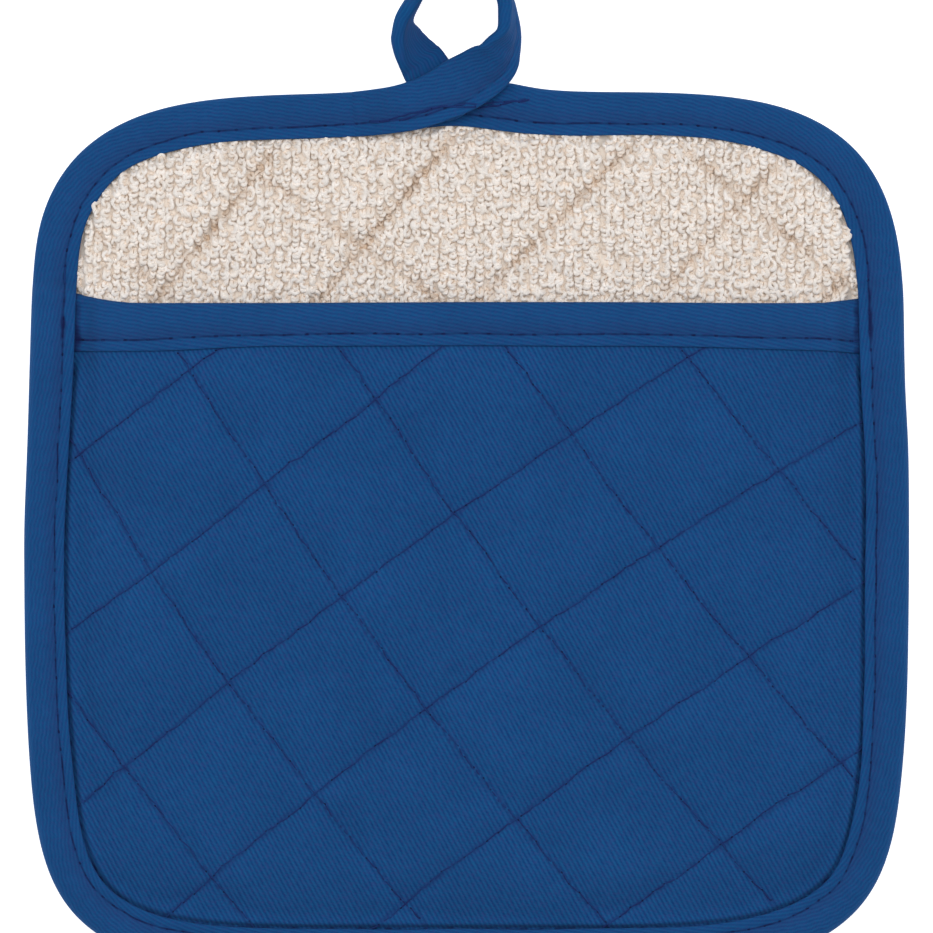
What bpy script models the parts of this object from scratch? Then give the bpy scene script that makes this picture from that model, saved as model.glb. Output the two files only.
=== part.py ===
"""A pot holder with a hand pocket, lying on its back with the pocket up.

Four cut and sewn pieces, each one closed solid:
  back_panel      the whole quilted pad, terry on the pocket side and twill on the underside
  pocket_panel    the quilted twill pad that covers the lower three quarters of the front
  pocket_binding  the folded twill strip over the pocket's mouth edge
  edge_binding    the folded twill strip round the whole outline, whose free end is the hanging loop

Metres, +X to the right, +Y towards the hanging loop, +Z up out of the pocket side.
The origin is under the middle of the whole thing, on the surface that it lies on.
"""
import math
from collections import namedtuple

import bmesh
import bpy
import numpy as np
from mathutils.geometry import delaunay_2d_cdt

MM = 0.001

# ---------------------------------------------------------------- driving dimensions
BODY_WIDTH = 203.2 * MM
BODY_HEIGHT = 201.8 * MM
LOOP_RISE = 29.1 * MM  # the loop's top above the body's top edge
GAP = 0.3 * MM  # between pieces that touch

# how square each corner of the outline is: the power of its superellipse quarter
CORNER_POWER = {
    ("right", "top"): 5.15,
    ("left", "top"): 5.0,
    ("left", "bottom"): 5.3,
    ("right", "bottom"): 5.0,
}
# the low swell of the top edge where the strip's two ends cross
SWELL_HEIGHT = 2.6 * MM
SWELL_AT_X = -2.0 * MM
SWELL_SPREAD = 18.0 * MM

# the strip round the outline, folded over the edge
EDGE_LEG = 0.8 * MM  # one leg: twill with its raw edge turned in
EDGE_WIDTH = 9.9 * MM
EDGE_FOLD = 1.2 * MM  # from the outline to the inside of the fold

# the strip over the pocket's mouth
MOUTH_LEG = 0.6 * MM
MOUTH_WIDTH = 9.9 * MM
MOUTH_WIDTH_AT_ENDS = 12.4 * MM
MOUTH_FOLD = 0.8 * MM
MOUTH_BELOW_TOP = 48.4 * MM  # the mouth's edge below the body's top edge
MOUTH_END_RISE = 1.2 * MM  # the sewn ends of the mouth are drawn up this much

# how thick the pads are: pressed flat under a binding, at a quilting line and at a cell's crown
BACK_MARGIN = 2.0 * MM
BACK_CROWN = 5.2 * MM
BACK_CHANNEL_DROP = 1.7 * MM  # the terry side's dip at a quilting line
UNDER_CHANNEL_DROP = 0.7 * MM  # the underside's dip at a quilting line
POCKET_MARGIN = 2.0 * MM
POCKET_AT_MOUTH = 1.2 * MM
POCKET_CROWN = 3.6 * MM
POCKET_CHANNEL_DROP = 1.4 * MM
POCKET_INSIDE_DROP = 0.4 * MM
POCKET_RISE = 6.8 * MM  # how far the pocket arches up off the back at the middle of its mouth
POCKET_FLANK = 45.0 * MM  # over this width the arch comes up from each side
CHANNEL_HALF_WIDTH = 6.0 * MM

# where a pad grows from its pressed margin to its full thickness
MARGIN_WIDTH = EDGE_WIDTH - EDGE_FOLD + 2 * GAP
CROWN_START = MARGIN_WIDTH + 5.5 * MM
PRESSED_DEPTH = 14.0 * MM  # under its own binding the pocket is pressed down to here below the mouth
FULL_DEPTH = 20.0 * MM  # and full from here on

# quilting lines. Each family runs at an angle to +X. A row is one line: how far it lies to the left
# of the origin looking along the family, its tilt, and its bow over 100 mm to each side.
QuiltLine = namedtuple("QuiltLine", "across_mm tilt_percent bow_mm")
POCKET_QUILT = {
    35.5: [
        (54.4, -3.6, -5.5),
        (25.2, 4.0, 1.2),
        (-7.0, -1.0, -4.0),
        (-39.5, -1.9, -4.7),
        (-71.8, -1.7, -4.7),
        (-104.2, -1.0, -0.8),
    ],
    -53.0: [
        (-103.7, 0.1, 3.7),
        (-72.6, -2.6, 7.1),
        (-40.1, -3.0, 5.8),
        (-8.0, -2.2, 4.7),
        (23.8, -0.8, 4.6),
        (55.5, 2.3, 2.6),
    ],
}
BACK_QUILT = {
    48.5: [
        (110.0, 2.0, 0.0),
        (80.0, 5.9, 0.0),
        (50.7, 3.8, 0.0),
        (25.6, -6.0, 0.0),
        (-6.3, -0.7, 0.0),
        (-36.0, 0.0, 0.0),
        (-66.0, 0.0, 0.0),
        (-96.0, 0.0, 0.0),
    ],
    -36.0: [
        (118.0, -4.0, 0.0),
        (88.8, -7.7, 0.0),
        (59.7, 2.9, 0.0),
        (28.3, 1.9, 0.0),
        (-15.8, -9.9, 0.0),
        (-46.0, 0.0, 0.0),
        (-76.0, 0.0, 0.0),
        (-106.0, 0.0, 0.0),
    ],
}
BOW_LENGTH = 100.0 * MM
CELL_SAMPLES = (0.0, 0.24, 0.5, 0.76)  # where a cell has points, from one quilting line to the next

# the strip's free end: it crosses over its own start at the top, stands up on its lower edge,
# turns back over the top of the loop and comes down behind the crossing. A row is one station:
# the middle of the strip, x and y from the body's top centre; its roll, 0 flat and 90 on edge; its
# width; its thickness away from the fold; and how wide its lower leg is.
TailRow = namedtuple("TailRow", "x_mm y_mm z_mm roll_deg width_mm thick_mm lower_mm")
TAIL_ROWS = [
    TailRow(-25.7, -4.5, 3.2, 0, 9.9, 2.4, 1.4),
    TailRow(-20.9, -4.2, 5.5, 0, 10.2, 2.1, 1.4),
    TailRow(-16.1, -3.8, 7.9, 0, 10.6, 1.9, 1.4),
    TailRow(-11.7, -2.9, 8.3, 0, 11.2, 1.9, 5.0),
    TailRow(-6.9, -1.1, 8.3, 0, 11.8, 1.9, 11.8),
    TailRow(-1.8, 1.6, 8.3, 0, 13.0, 1.9, 13.0),
    TailRow(2.8, 4.0, 8.4, 10, 12.9, 1.9, 12.9),
    TailRow(6.4, 6.5, 8.5, 38, 12.6, 1.9, 12.6),
    TailRow(8.3, 9.6, 7.8, 58, 12.4, 1.9, 12.4),
    TailRow(10.0, 13.5, 6.9, 75, 12.4, 1.9, 12.4),
    TailRow(9.6, 17.7, 6.7, 80, 12.4, 1.9, 12.4),
    TailRow(8.8, 21.6, 6.6, 83, 12.4, 1.9, 12.4),
    TailRow(6.4, 24.9, 6.5, 86, 12.4, 1.9, 12.4),
    TailRow(2.6, 26.9, 6.5, 88, 12.4, 1.9, 12.4),
    TailRow(-2.3, 27.6, 6.5, 90, 12.4, 1.9, 12.4),
    TailRow(-7.0, 26.8, 6.5, 91, 12.4, 1.9, 12.4),
    TailRow(-10.4, 24.5, 6.5, 92, 12.4, 1.9, 12.4),
    TailRow(-12.6, 20.9, 6.5, 94, 12.4, 1.9, 12.4),
    TailRow(-14.0, 16.8, 6.5, 98, 12.4, 1.9, 12.4),
    TailRow(-13.1, 12.4, 6.4, 118, 12.4, 1.9, 12.4),
    TailRow(-10.9, 8.4, 5.9, 152, 12.4, 1.9, 12.4),
    TailRow(-8.3, 4.4, 5.45, 179, 12.2, 1.9, 12.2),
    TailRow(-5.7, 0.5, 5.45, 180, 12.0, 1.9, 12.0),
]
TAIL_STEPS = 2  # stations from one row to the next
TAIL_FOLD_BULGE = 1.1 * MM  # the fold stands this much thicker than the rest of the free strip
BULGE_GROWS = (4, 8)  # from one row's index to another's
BULGE_FADES = (19, 21)

# the strip's start, under the crossing: arc length from the top centre, how high and how wide its
# upper leg is there. It lies flat first and folds over the pad's edge where the tail has lifted off.
StartRow = namedtuple("StartRow", "arc_mm height_mm upper_mm")
START_ROWS = [
    StartRow(-25.2, 1.8, 1.4),
    StartRow(-13.0, 1.8, 1.4),
    StartRow(-11.0, 4.2, 1.4),
    StartRow(-10.2, 4.2, 9.9),
]
RING_END_ARC = -27.4 * MM  # the last station that still wraps the pad, measured back from the top centre
LEG_END_RUN = 0.9 * MM  # over this length the lower leg ends
NARROWEST_LEG = 1.15 * EDGE_FOLD

# the shape of a strip's fold, as shares of its depth and of its height
FOLD_TURN_START = 0.9  # of the depth: where the flat legs begin to turn
FOLD_TURN_MOST = 0.42  # of the height: and no further in than this
FOLD_SHOULDER_IN = 0.22  # of the depth
FOLD_SHOULDER_UP = 0.17  # of the height
SLOT_CORNER_IN = 0.12  # of the depth: how much the slot's corners are eased
BULGE_REACH = 0.8  # of the bulge: how far past the turn it is widest

# ---------------------------------------------------------------- places worked out from these
BODY_CENTRE_Y = -LOOP_RISE / 2
BODY_TOP_Y = BODY_CENTRE_Y + BODY_HEIGHT / 2
BODY_BOTTOM_Y = BODY_CENTRE_Y - BODY_HEIGHT / 2
MOUTH_Y = BODY_TOP_Y - MOUTH_BELOW_TOP
PAD_INSET = EDGE_FOLD + GAP

UNDER_MARGIN_Z = EDGE_LEG + GAP  # the underside of a pad's pressed margin
BACK_MARGIN_Z = UNDER_MARGIN_Z + BACK_MARGIN
POCKET_MARGIN_Z = BACK_MARGIN_Z + GAP
MOUTH_LIFT = MOUTH_LEG + GAP  # what the mouth's lower leg lifts the pocket by
EDGE_HEIGHT = BACK_MARGIN_Z + GAP + EDGE_LEG
EDGE_HEIGHT_POCKET = POCKET_MARGIN_Z + POCKET_MARGIN + GAP + EDGE_LEG
EDGE_HEIGHT_MOUTH = (
    POCKET_MARGIN_Z + MOUTH_LIFT + POCKET_AT_MOUTH + MOUTH_LIFT + GAP + EDGE_LEG
)
# along the sides: where the bound edge steps up over the pocket and its doubled mouth
STEP_FOOT_Y = MOUTH_Y + 7.0 * MM
STEP_TOP_Y = MOUTH_Y + 2.0 * MM
PRESSED_END_Y = MOUTH_Y - PRESSED_DEPTH
FULL_START_Y = MOUTH_Y - FULL_DEPTH

# station spacing round the outline
LONGEST_STEP = 15.0 * MM
SWELL_STEP = 6.0 * MM
STEEPEST_TURN = math.radians(10)
SHORTEST_STEP = 2.2 * MM
MOUTH_STEP = 11.0 * MM
OUTLINE_POINTS = 1440  # of the dense outline that the stations are read from
DIRECTION_REACH = 0.4 * MM  # the outline's direction is taken over this much to each side
CELL_CLEARANCE = 3.0 * MM  # a pad's loose points stay this far inside its innermost ring
CELL_ROUNDS = 6  # of solving for where two bowed quilting lines cross
POINTS_AT_ONCE = 500  # in a distance search, to keep its arrays small
MERGE_DISTANCE = 1e-7

COLOURS = {  # sRGB and roughness of each cloth
    "back_panel": ((0.85, 0.80, 0.76), 0.95),
    "pocket_panel": ((0.11, 0.28, 0.48), 0.85),
    "pocket_binding": ((0.12, 0.28, 0.48), 0.85),
    "edge_binding": ((0.13, 0.27, 0.47), 0.85),
}


# ---------------------------------------------------------------- small helpers
def smoothstep(start, end, value):
    """0 at start, 1 at end, with no corner at either."""
    t = np.clip((np.asarray(value, float) - start) / (end - start), 0.0, 1.0)
    return t * t * (3 - 2 * t)


def unit(vector):
    return vector / np.linalg.norm(vector)


def linear_colour(srgb):
    return tuple(((c + 0.055) / 1.055) ** 2.4 if c > 0.04 else c / 12.92 for c in srgb)


# ---------------------------------------------------------------- the outline
def dense_outline():
    """The body's outline as closely spaced points, clockwise from the middle of the top edge."""
    polar = np.radians(90.0 - np.linspace(0.0, 360.0, OUTLINE_POINTS + 1))
    points = []
    for angle in polar:
        c, s = math.cos(angle), math.sin(angle)
        side = "right" if c >= 0 else "left"
        end = "top" if s >= 0 else "bottom"
        power = CORNER_POWER[(side, end)]
        shape = abs(c / (BODY_WIDTH / 2)) ** power + abs(s / (BODY_HEIGHT / 2)) ** power
        radius = shape ** (-1 / power)
        x, y = radius * c, radius * s
        if end == "top":
            y += SWELL_HEIGHT * math.exp(-(((x - SWELL_AT_X) / SWELL_SPREAD) ** 2))
        points.append((x, y + BODY_CENTRE_Y))
    return np.array(points)


OUTLINE = dense_outline()
OUTLINE_ARC = np.r_[0.0, np.cumsum(np.linalg.norm(np.diff(OUTLINE, axis=0), axis=1))]
PERIMETER = OUTLINE_ARC[-1]


def outline_at(arc):
    """The point and the inward direction at an arc length clockwise from the top centre."""

    def point(a):
        a = a % PERIMETER
        return np.array([np.interp(a, OUTLINE_ARC, OUTLINE[:, k]) for k in (0, 1)])

    along = unit(point(arc + DIRECTION_REACH) - point(arc - DIRECTION_REACH))
    return point(arc), np.array([along[1], -along[0]])


def distance_inside(points):
    """How far each point lies inside the pads' own outline."""
    start, end = OUTLINE[:-1], OUTLINE[1:]
    run = end - start
    length2 = (run**2).sum(axis=1)
    nearest = np.full(len(points), np.inf)
    for first in range(0, len(points), POINTS_AT_ONCE):
        chunk = slice(first, first + POINTS_AT_ONCE)
        some = points[chunk, None, :] - start[None]
        t = np.clip((some * run).sum(axis=2) / length2, 0.0, 1.0)
        apart = some - t[..., None] * run
        nearest[chunk] = np.sqrt((apart**2).sum(axis=2).min(axis=1))
    return nearest - PAD_INSET


def ring_arcs():
    """Arc lengths of the stations round the outline, closer together where it turns.

    There is one at each height of Y where the bound edge changes thickness, too.
    """
    samples = np.linspace(0.0, PERIMETER, OUTLINE_POINTS)
    inward = np.array([outline_at(a)[1] for a in samples])
    heading = np.unwrap(np.arctan2(inward[:, 1], inward[:, 0]))
    arcs, last = [0.0], 0
    for k in range(1, len(samples)):
        step = samples[k] - samples[last]
        turn = abs(heading[k] - heading[last])
        from_top = min(samples[k], PERIMETER - samples[k])
        longest = SWELL_STEP if from_top < 2 * SWELL_SPREAD else LONGEST_STEP
        if step >= longest or (turn >= STEEPEST_TURN and step >= SHORTEST_STEP):
            arcs.append(samples[k])
            last = k
    levels = []
    for k in range(len(OUTLINE) - 1):
        for level in (STEP_FOOT_Y, STEP_TOP_Y, PRESSED_END_Y, FULL_START_Y):
            y0, y1 = OUTLINE[k, 1], OUTLINE[k + 1, 1]
            if (y0 - level) * (y1 - level) < 0:
                share = (level - y0) / (y1 - y0)
                levels.append(OUTLINE_ARC[k] + share * (OUTLINE_ARC[k + 1] - OUTLINE_ARC[k]))
    clear = [a for a in arcs if min(abs(a - b) for b in levels) > SHORTEST_STEP]
    room = PERIMETER - SHORTEST_STEP
    return sorted([a for a in clear if a < room] + levels)


def bound_height(y):
    """How thick the bound edge is at y: over the back, over both pads, or with the mouth's strip too."""
    over_mouth = smoothstep(STEP_FOOT_Y, STEP_TOP_Y, y)
    past_mouth = smoothstep(PRESSED_END_Y, FULL_START_Y, y)
    height = EDGE_HEIGHT + (EDGE_HEIGHT_MOUTH - EDGE_HEIGHT) * over_mouth
    return height + (EDGE_HEIGHT_POCKET - EDGE_HEIGHT_MOUTH) * past_mouth


# ---------------------------------------------------------------- quilting
def quilt_lines(families):
    """Every quilting line as its family's direction, its leftward direction and its row."""
    for angle, rows in families.items():
        turn = math.radians(angle)
        along = np.array([math.cos(turn), math.sin(turn)])
        left = np.array([-along[1], along[0]])
        for row in rows:
            yield along, left, QuiltLine(*row)


def leftward_of_origin(a, line):
    """How far a quilting line lies to the left at a distance a along it, in metres."""
    return line.across_mm * MM + line.tilt_percent / 100 * a + line.bow_mm * MM * (a / BOW_LENGTH) ** 2


def distance_to_quilting(points, families):
    nearest = np.full(len(points), np.inf)
    for along, left, line in quilt_lines(families):
        side = points @ left - leftward_of_origin(points @ along, line)
        nearest = np.minimum(nearest, abs(side))
    return nearest


def puff(points, families):
    """0 on a quilting line, 1 on the flat crown of a cell."""
    t = np.clip(distance_to_quilting(points, families) / CHANNEL_HALF_WIDTH, 0.0, 1.0)
    return 1 - (1 - t) ** 2


def lines_and_between(rows):
    """A family's lines and, at CELL_SAMPLES, the lines that would lie between and beyond them."""
    table = np.array(rows)
    table = np.vstack([2 * table[0] - table[1], table, 2 * table[-1] - table[-2]])
    places = [k + share for k in range(len(table) - 1) for share in CELL_SAMPLES]
    index = np.arange(len(table))
    return [QuiltLine(*(np.interp(p, index, column) for column in table.T)) for p in places]


def cell_points(families):
    """Points laid out cell by cell: on the quilting lines, where they cross, and on the crowns."""
    directions = [(along, left) for along, left, _ in quilt_lines(families)]
    (along_a, left_a), (along_b, left_b) = directions[0], directions[-1]
    lines_a, lines_b = (lines_and_between(rows) for rows in families.values())
    solve = np.linalg.inv(np.array([left_a, left_b]))
    points = []
    for line_a in lines_a:
        for line_b in lines_b:
            p = np.zeros(2)
            for _ in range(CELL_ROUNDS):
                want_a = leftward_of_origin(p @ along_a, line_a)
                want_b = leftward_of_origin(p @ along_b, line_b)
                p = solve @ np.array([want_a, want_b])
            points.append(p)
    return np.array(points)


# ---------------------------------------------------------------- surfaces of the two pads
def mouth_line(x):
    """The height of Y of the pocket's mouth edge at x."""
    return MOUTH_Y + MOUTH_END_RISE * np.clip(abs(x) / (BODY_WIDTH / 2), 0, 1) ** 8


def back_levels(points):
    """The lower and the upper face of the back panel."""
    inside = distance_inside(points)
    full = smoothstep(MARGIN_WIDTH, CROWN_START, inside)
    dip = 1 - puff(points, BACK_QUILT)
    low = UNDER_MARGIN_Z * (1 - full) + UNDER_CHANNEL_DROP * dip * full
    high = BACK_MARGIN_Z + (BACK_CROWN - BACK_MARGIN_Z - BACK_CHANNEL_DROP * dip) * full
    return low, high


def pocket_levels(points):
    """The lower and the upper face of the pocket panel, arched up off the back."""
    x, y = points[:, 0], points[:, 1]
    inside = distance_inside(points)
    full = smoothstep(MARGIN_WIDTH, CROWN_START, inside)
    # near the mouth the panel is pressed flat under its own binding and lifted by its lower leg
    mouth = smoothstep(FULL_START_Y, PRESSED_END_Y, y)
    rest = POCKET_MARGIN_Z + (BACK_CROWN + GAP - POCKET_MARGIN_Z) * full + MOUTH_LIFT * mouth
    flank = np.clip((BODY_WIDTH / 2 - PAD_INSET - MARGIN_WIDTH - abs(x)) / POCKET_FLANK, 0, 1)
    foot = BODY_BOTTOM_Y + PAD_INSET + MARGIN_WIDTH
    climb = np.clip((y - foot) / (MOUTH_Y - foot), 0, 1)
    arch = POCKET_RISE * (1 - (1 - flank) ** 2) * (1 - (1 - climb) ** 3) * full
    thick = POCKET_MARGIN + (POCKET_AT_MOUTH - POCKET_MARGIN) * mouth
    swell = full * (1 - mouth)
    thick = thick + (POCKET_CROWN - POCKET_MARGIN) * swell
    dip = (1 - puff(points, POCKET_QUILT)) * swell
    low = rest + arch + POCKET_INSIDE_DROP * dip
    high = rest + arch + thick - POCKET_CHANNEL_DROP * dip
    return low, high


# ---------------------------------------------------------------- building solids
def finish_object(name, bm, collection):
    """Writes the mesh to a named object with its own material."""
    bmesh.ops.recalc_face_normals(bm, faces=bm.faces[:])
    mesh = bpy.data.meshes.new(name)
    bm.to_mesh(mesh)
    bm.free()
    obj = bpy.data.objects.new(name, mesh)
    collection.objects.link(obj)
    colour, roughness = COLOURS[name]
    material = bpy.data.materials.new(name)
    material.use_nodes = True
    shader = material.node_tree.nodes["Principled BSDF"]
    shader.inputs["Base Color"].default_value = (*linear_colour(colour), 1.0)
    shader.inputs["Roughness"].default_value = roughness
    mesh.materials.append(material)
    return obj


def slab(name, rings, loose, levels, collection):
    """A pad: a flat outline filled with triangles, extruded, and each face moved to its level."""
    flat = [tuple(p) for ring in rings for p in ring]
    edges, first = [], 0
    for ring in rings:
        count = len(ring)
        edges += [(first + k, first + (k + 1) % count) for k in range(count)]
        first += count
    flat += [tuple(p) for p in loose]
    # output type 1 keeps the triangles inside the outer ring
    verts, _, faces, *_ = delaunay_2d_cdt(flat, edges, [], 1, MERGE_DISTANCE)
    bm = bmesh.new()
    corners = [bm.verts.new((v[0], v[1], 0.0)) for v in verts]
    for face in faces:
        bm.faces.new([corners[k] for k in face])
    top = bmesh.ops.extrude_face_region(bm, geom=bm.faces[:], use_keep_orig=True)["geom"]
    lifted = {v for v in top if isinstance(v, bmesh.types.BMVert)}
    bm.verts.ensure_lookup_table()
    places = np.array([v.co[:2] for v in bm.verts])
    low, high = levels(places)
    for v, z_low, z_high in zip(bm.verts, low, high):
        v.co.z = z_high if v in lifted else z_low
    return finish_object(name, bm, collection)


def loft(name, sections, collection):
    """A strip: closed sections joined one to the next, with both ends filled."""
    bm = bmesh.new()
    rings = [[bm.verts.new(tuple(p)) for p in section] for section in sections]
    count = len(rings[0])
    for ring, following in zip(rings, rings[1:]):
        for k in range(count):
            j = (k + 1) % count
            bm.faces.new((ring[k], ring[j], following[j], following[k]))
    for ring in (rings[0], rings[-1]):
        # the outer and the inner side of the folded section face each other pair by pair
        for k in range(count // 2 - 1):
            far = count - 1 - k
            bm.faces.new((ring[k], ring[k + 1], ring[far - 1], ring[far]))
    return finish_object(name, bm, collection)


def folded_section(lower, upper, height, leg, fold, bulge=0.0):
    """A strip folded over an edge, as (inward, up) pairs, from the lower leg round to the upper.

    lower and upper are the widths of its legs, height is its thickness over the outside and fold is
    the thickness of cloth at the fold. bulge is how far the fold swells past the legs.
    """
    turn_at = min(FOLD_TURN_START * fold, FOLD_TURN_MOST * height) + BULGE_REACH * bulge
    shoulder_in, shoulder_up = FOLD_SHOULDER_IN * fold, FOLD_SHOULDER_UP * height
    swell = bulge / 2
    outside = [
        (lower, 0.0),
        (turn_at, -swell),
        (shoulder_in, shoulder_up - swell),
        (0.0, height / 2),
        (shoulder_in, height - shoulder_up + swell),
        (turn_at, height + swell),
        (upper, height),
    ]
    slot_low, slot_high = leg, height - leg
    corner = fold + SLOT_CORNER_IN * fold
    inside = [
        (upper, slot_high),
        (corner, slot_high),
        (fold, slot_low + 0.75 * (slot_high - slot_low)),
        (fold, slot_low + 0.50 * (slot_high - slot_low)),
        (fold, slot_low + 0.25 * (slot_high - slot_low)),
        (corner, slot_low),
        (lower, slot_low),
    ]
    return outside + inside


def place_section(section, origin, inward, up):
    return [origin + s * inward + n * up for s, n in section]


# ---------------------------------------------------------------- the four pieces
def inset_ring(arcs, distance):
    ring = []
    for arc in arcs:
        point, inward = outline_at(arc)
        ring.append(point + distance * inward)
    return ring


def build_back_panel(collection):
    arcs = ring_arcs()
    rings = [
        inset_ring(arcs, PAD_INSET),
        inset_ring(arcs, PAD_INSET + MARGIN_WIDTH),
        inset_ring(arcs[::2], PAD_INSET + CROWN_START),
    ]
    cells = cell_points(BACK_QUILT)
    clear = cells[inside_panel(cells) > CROWN_START + CELL_CLEARANCE]
    return slab("back_panel", rings, clear, back_levels, collection)


def inside_panel(points):
    """Distance inside the pads' outline, negative outside it."""
    angle = np.arctan2(points[:, 1] - BODY_CENTRE_Y, points[:, 0])
    radius = np.hypot(points[:, 0], points[:, 1] - BODY_CENTRE_Y)
    around = np.arctan2(OUTLINE[:, 1] - BODY_CENTRE_Y, OUTLINE[:, 0])
    order = np.argsort(around)
    edge = np.hypot(OUTLINE[:, 0], OUTLINE[:, 1] - BODY_CENTRE_Y)[order]
    limit = np.interp(angle, around[order], edge)
    return np.where(radius < limit, distance_inside(points), -1.0)


def mouth_stations(y):
    """X of the stations along the mouth, shared by the pocket and its binding."""
    right = side_at_height(y, PAD_INSET, 1)
    left = side_at_height(y, PAD_INSET, -1)
    flat_right, flat_left = right - CROWN_START, left + CROWN_START
    count = round((flat_right - flat_left) / MOUTH_STEP)
    between = list(np.linspace(flat_left, flat_right, count + 1))
    rise = (CROWN_START + MARGIN_WIDTH) / 2
    ends = [left, left + MARGIN_WIDTH, left + rise]
    return ends + between + [right - rise, right - MARGIN_WIDTH, right]


def pocket_ring(arcs, inset, below_mouth):
    """The pocket's outline, drawn in: round the sides and bottom, then back along the mouth."""
    ring = []
    for arc in arcs:
        point, inward = outline_at(arc)
        place = point + inset * inward
        if place[1] < MOUTH_Y - below_mouth - SHORTEST_STEP:
            ring.append(place)
    right = side_at_height(MOUTH_Y, inset, 1)
    left = side_at_height(MOUTH_Y, inset, -1)
    inner = [x for x in mouth_stations(MOUTH_Y) if left + MM < x < right - MM]
    for x in [left, *inner, right]:
        ring.append(np.array([x, mouth_line(x) - below_mouth]))
    return ring


def side_at_height(y, inset, side):
    """X of the outline, drawn in by inset, at a height of Y on the right or left side."""
    half = OUTLINE[OUTLINE[:, 0] * side > 0]
    order = np.argsort(half[:, 1])
    return float(np.interp(y, half[order, 1], half[order, 0])) - side * inset


def build_pocket_panel(collection):
    arcs = ring_arcs()
    rings = [
        pocket_ring(arcs, PAD_INSET, MOUTH_FOLD + GAP),
        pocket_ring(arcs, PAD_INSET + MARGIN_WIDTH, PRESSED_DEPTH),
        pocket_ring(arcs[::2], PAD_INSET + CROWN_START, FULL_DEPTH),
    ]
    cells = cell_points(POCKET_QUILT)
    deep = cells[:, 1] < FULL_START_Y - CELL_CLEARANCE
    clear = cells[deep & (inside_panel(cells) > CROWN_START + CELL_CLEARANCE)]
    return slab("pocket_panel", rings, clear, pocket_levels, collection)


def build_pocket_binding(collection):
    """The strip over the mouth follows the pocket's arch from side to side."""
    sections = []
    for x in mouth_stations(MOUTH_Y):
        end = abs(x) / (BODY_WIDTH / 2)
        width = MOUTH_WIDTH + (MOUTH_WIDTH_AT_ENDS - MOUTH_WIDTH) * end**4
        y = mouth_line(x)
        # the panel's edge and its place under the legs' ends, where the arch can be a little lower
        low, high = pocket_levels(np.array([[x, y - MOUTH_FOLD - GAP], [x, y - width]]))
        bottom = low[0] - GAP - MOUTH_LEG
        height = high[0] + GAP + MOUTH_LEG - bottom
        section = folded_section(width, width, height, MOUTH_LEG, MOUTH_FOLD)
        origin = np.array([x, y, bottom])
        inward = np.array([0, -1.0, (low[1] - low[0]) / width])
        sections.append(place_section(section, origin, inward, np.array([0, 0, 1.0])))
    return loft("pocket_binding", sections, collection)


def ring_section(arc, lower, upper, height):
    point, inward = outline_at(arc)
    section = folded_section(lower, upper, height, EDGE_LEG, EDGE_FOLD)
    origin = np.array([*point, 0.0])
    return place_section(section, origin, np.array([*inward, 0.0]), np.array([0, 0, 1.0]))


def tail_sections():
    """The free end, on a smooth curve through its rows."""
    rows = np.array(TAIL_ROWS, float)
    top_centre = np.array([0.0, BODY_TOP_Y, 0.0])
    ghosts = np.vstack([2 * rows[0] - rows[1], rows, 2 * rows[-1] - rows[-2]])

    def at(k, t):
        p0, p1, p2, p3 = ghosts[k : k + 4]
        value = 0.5 * (
            2 * p1
            + (p2 - p0) * t
            + (2 * p0 - 5 * p1 + 4 * p2 - p3) * t**2
            + (3 * p1 - p0 - 3 * p2 + p3) * t**3
        )
        slope = 0.5 * (
            (p2 - p0)
            + 2 * (2 * p0 - 5 * p1 + 4 * p2 - p3) * t
            + 3 * (3 * p1 - p0 - 3 * p2 + p3) * t**2
        )
        return value, slope

    upward = np.array([0, 0, 1.0])
    sections = []
    places = [(k, step / TAIL_STEPS) for k in range(len(rows) - 1) for step in range(TAIL_STEPS)]
    places.append((len(rows) - 2, 1.0))
    for k, t in places:
        value, slope = at(k, t)
        row = TailRow(*value)
        travel = unit(np.array([slope[0], slope[1], 0.0]))
        left = np.array([-travel[1], travel[0], 0.0])
        roll = math.radians(row.roll_deg)
        fold_way = math.cos(roll) * left + math.sin(roll) * upward
        up = math.cos(roll) * upward - math.sin(roll) * left
        free = float(smoothstep(*BULGE_GROWS, k + t) * (1 - smoothstep(*BULGE_FADES, k + t)))
        width, thick = row.width_mm * MM, row.thick_mm * MM
        lower = max(row.lower_mm * MM, NARROWEST_LEG)
        section = folded_section(lower, width, thick, EDGE_LEG, EDGE_FOLD, TAIL_FOLD_BULGE * free)
        middle = top_centre + np.array([row.x_mm, row.y_mm, row.z_mm]) * MM
        origin = middle + fold_way * width / 2 - up * thick / 2
        sections.append(place_section(section, origin, -fold_way, up))
    return sections


def build_edge_binding(collection):
    """One strip: flat start, once round the outline, over its own start, and up into the loop."""
    sections = [
        ring_section(row.arc_mm * MM, EDGE_WIDTH, row.upper_mm * MM, row.height_mm * MM)
        for row in START_ROWS
    ]
    wrapped_from = START_ROWS[-1].arc_mm * MM + SHORTEST_STEP
    last = PERIMETER + RING_END_ARC
    arcs = ring_arcs()
    arcs = sorted([a - PERIMETER for a in arcs if a > PERIMETER / 2] + arcs)
    for arc in arcs:
        if wrapped_from < arc < last - SHORTEST_STEP:
            height = float(bound_height(outline_at(arc)[0][1]))
            sections.append(ring_section(arc, EDGE_WIDTH, EDGE_WIDTH, height))
    sections.append(ring_section(last, EDGE_WIDTH, EDGE_WIDTH, EDGE_HEIGHT))
    sections.append(ring_section(last + LEG_END_RUN, NARROWEST_LEG, EDGE_WIDTH, EDGE_HEIGHT))
    sections += tail_sections()
    return loft("edge_binding", sections, collection)


def main():
    for obj in list(bpy.data.objects):
        bpy.data.objects.remove(obj, do_unlink=True)
    collection = bpy.data.collections.new("pot_holder")
    bpy.context.scene.collection.children.link(collection)
    build_back_panel(collection)
    build_pocket_panel(collection)
    build_pocket_binding(collection)
    build_edge_binding(collection)


main()
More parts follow.
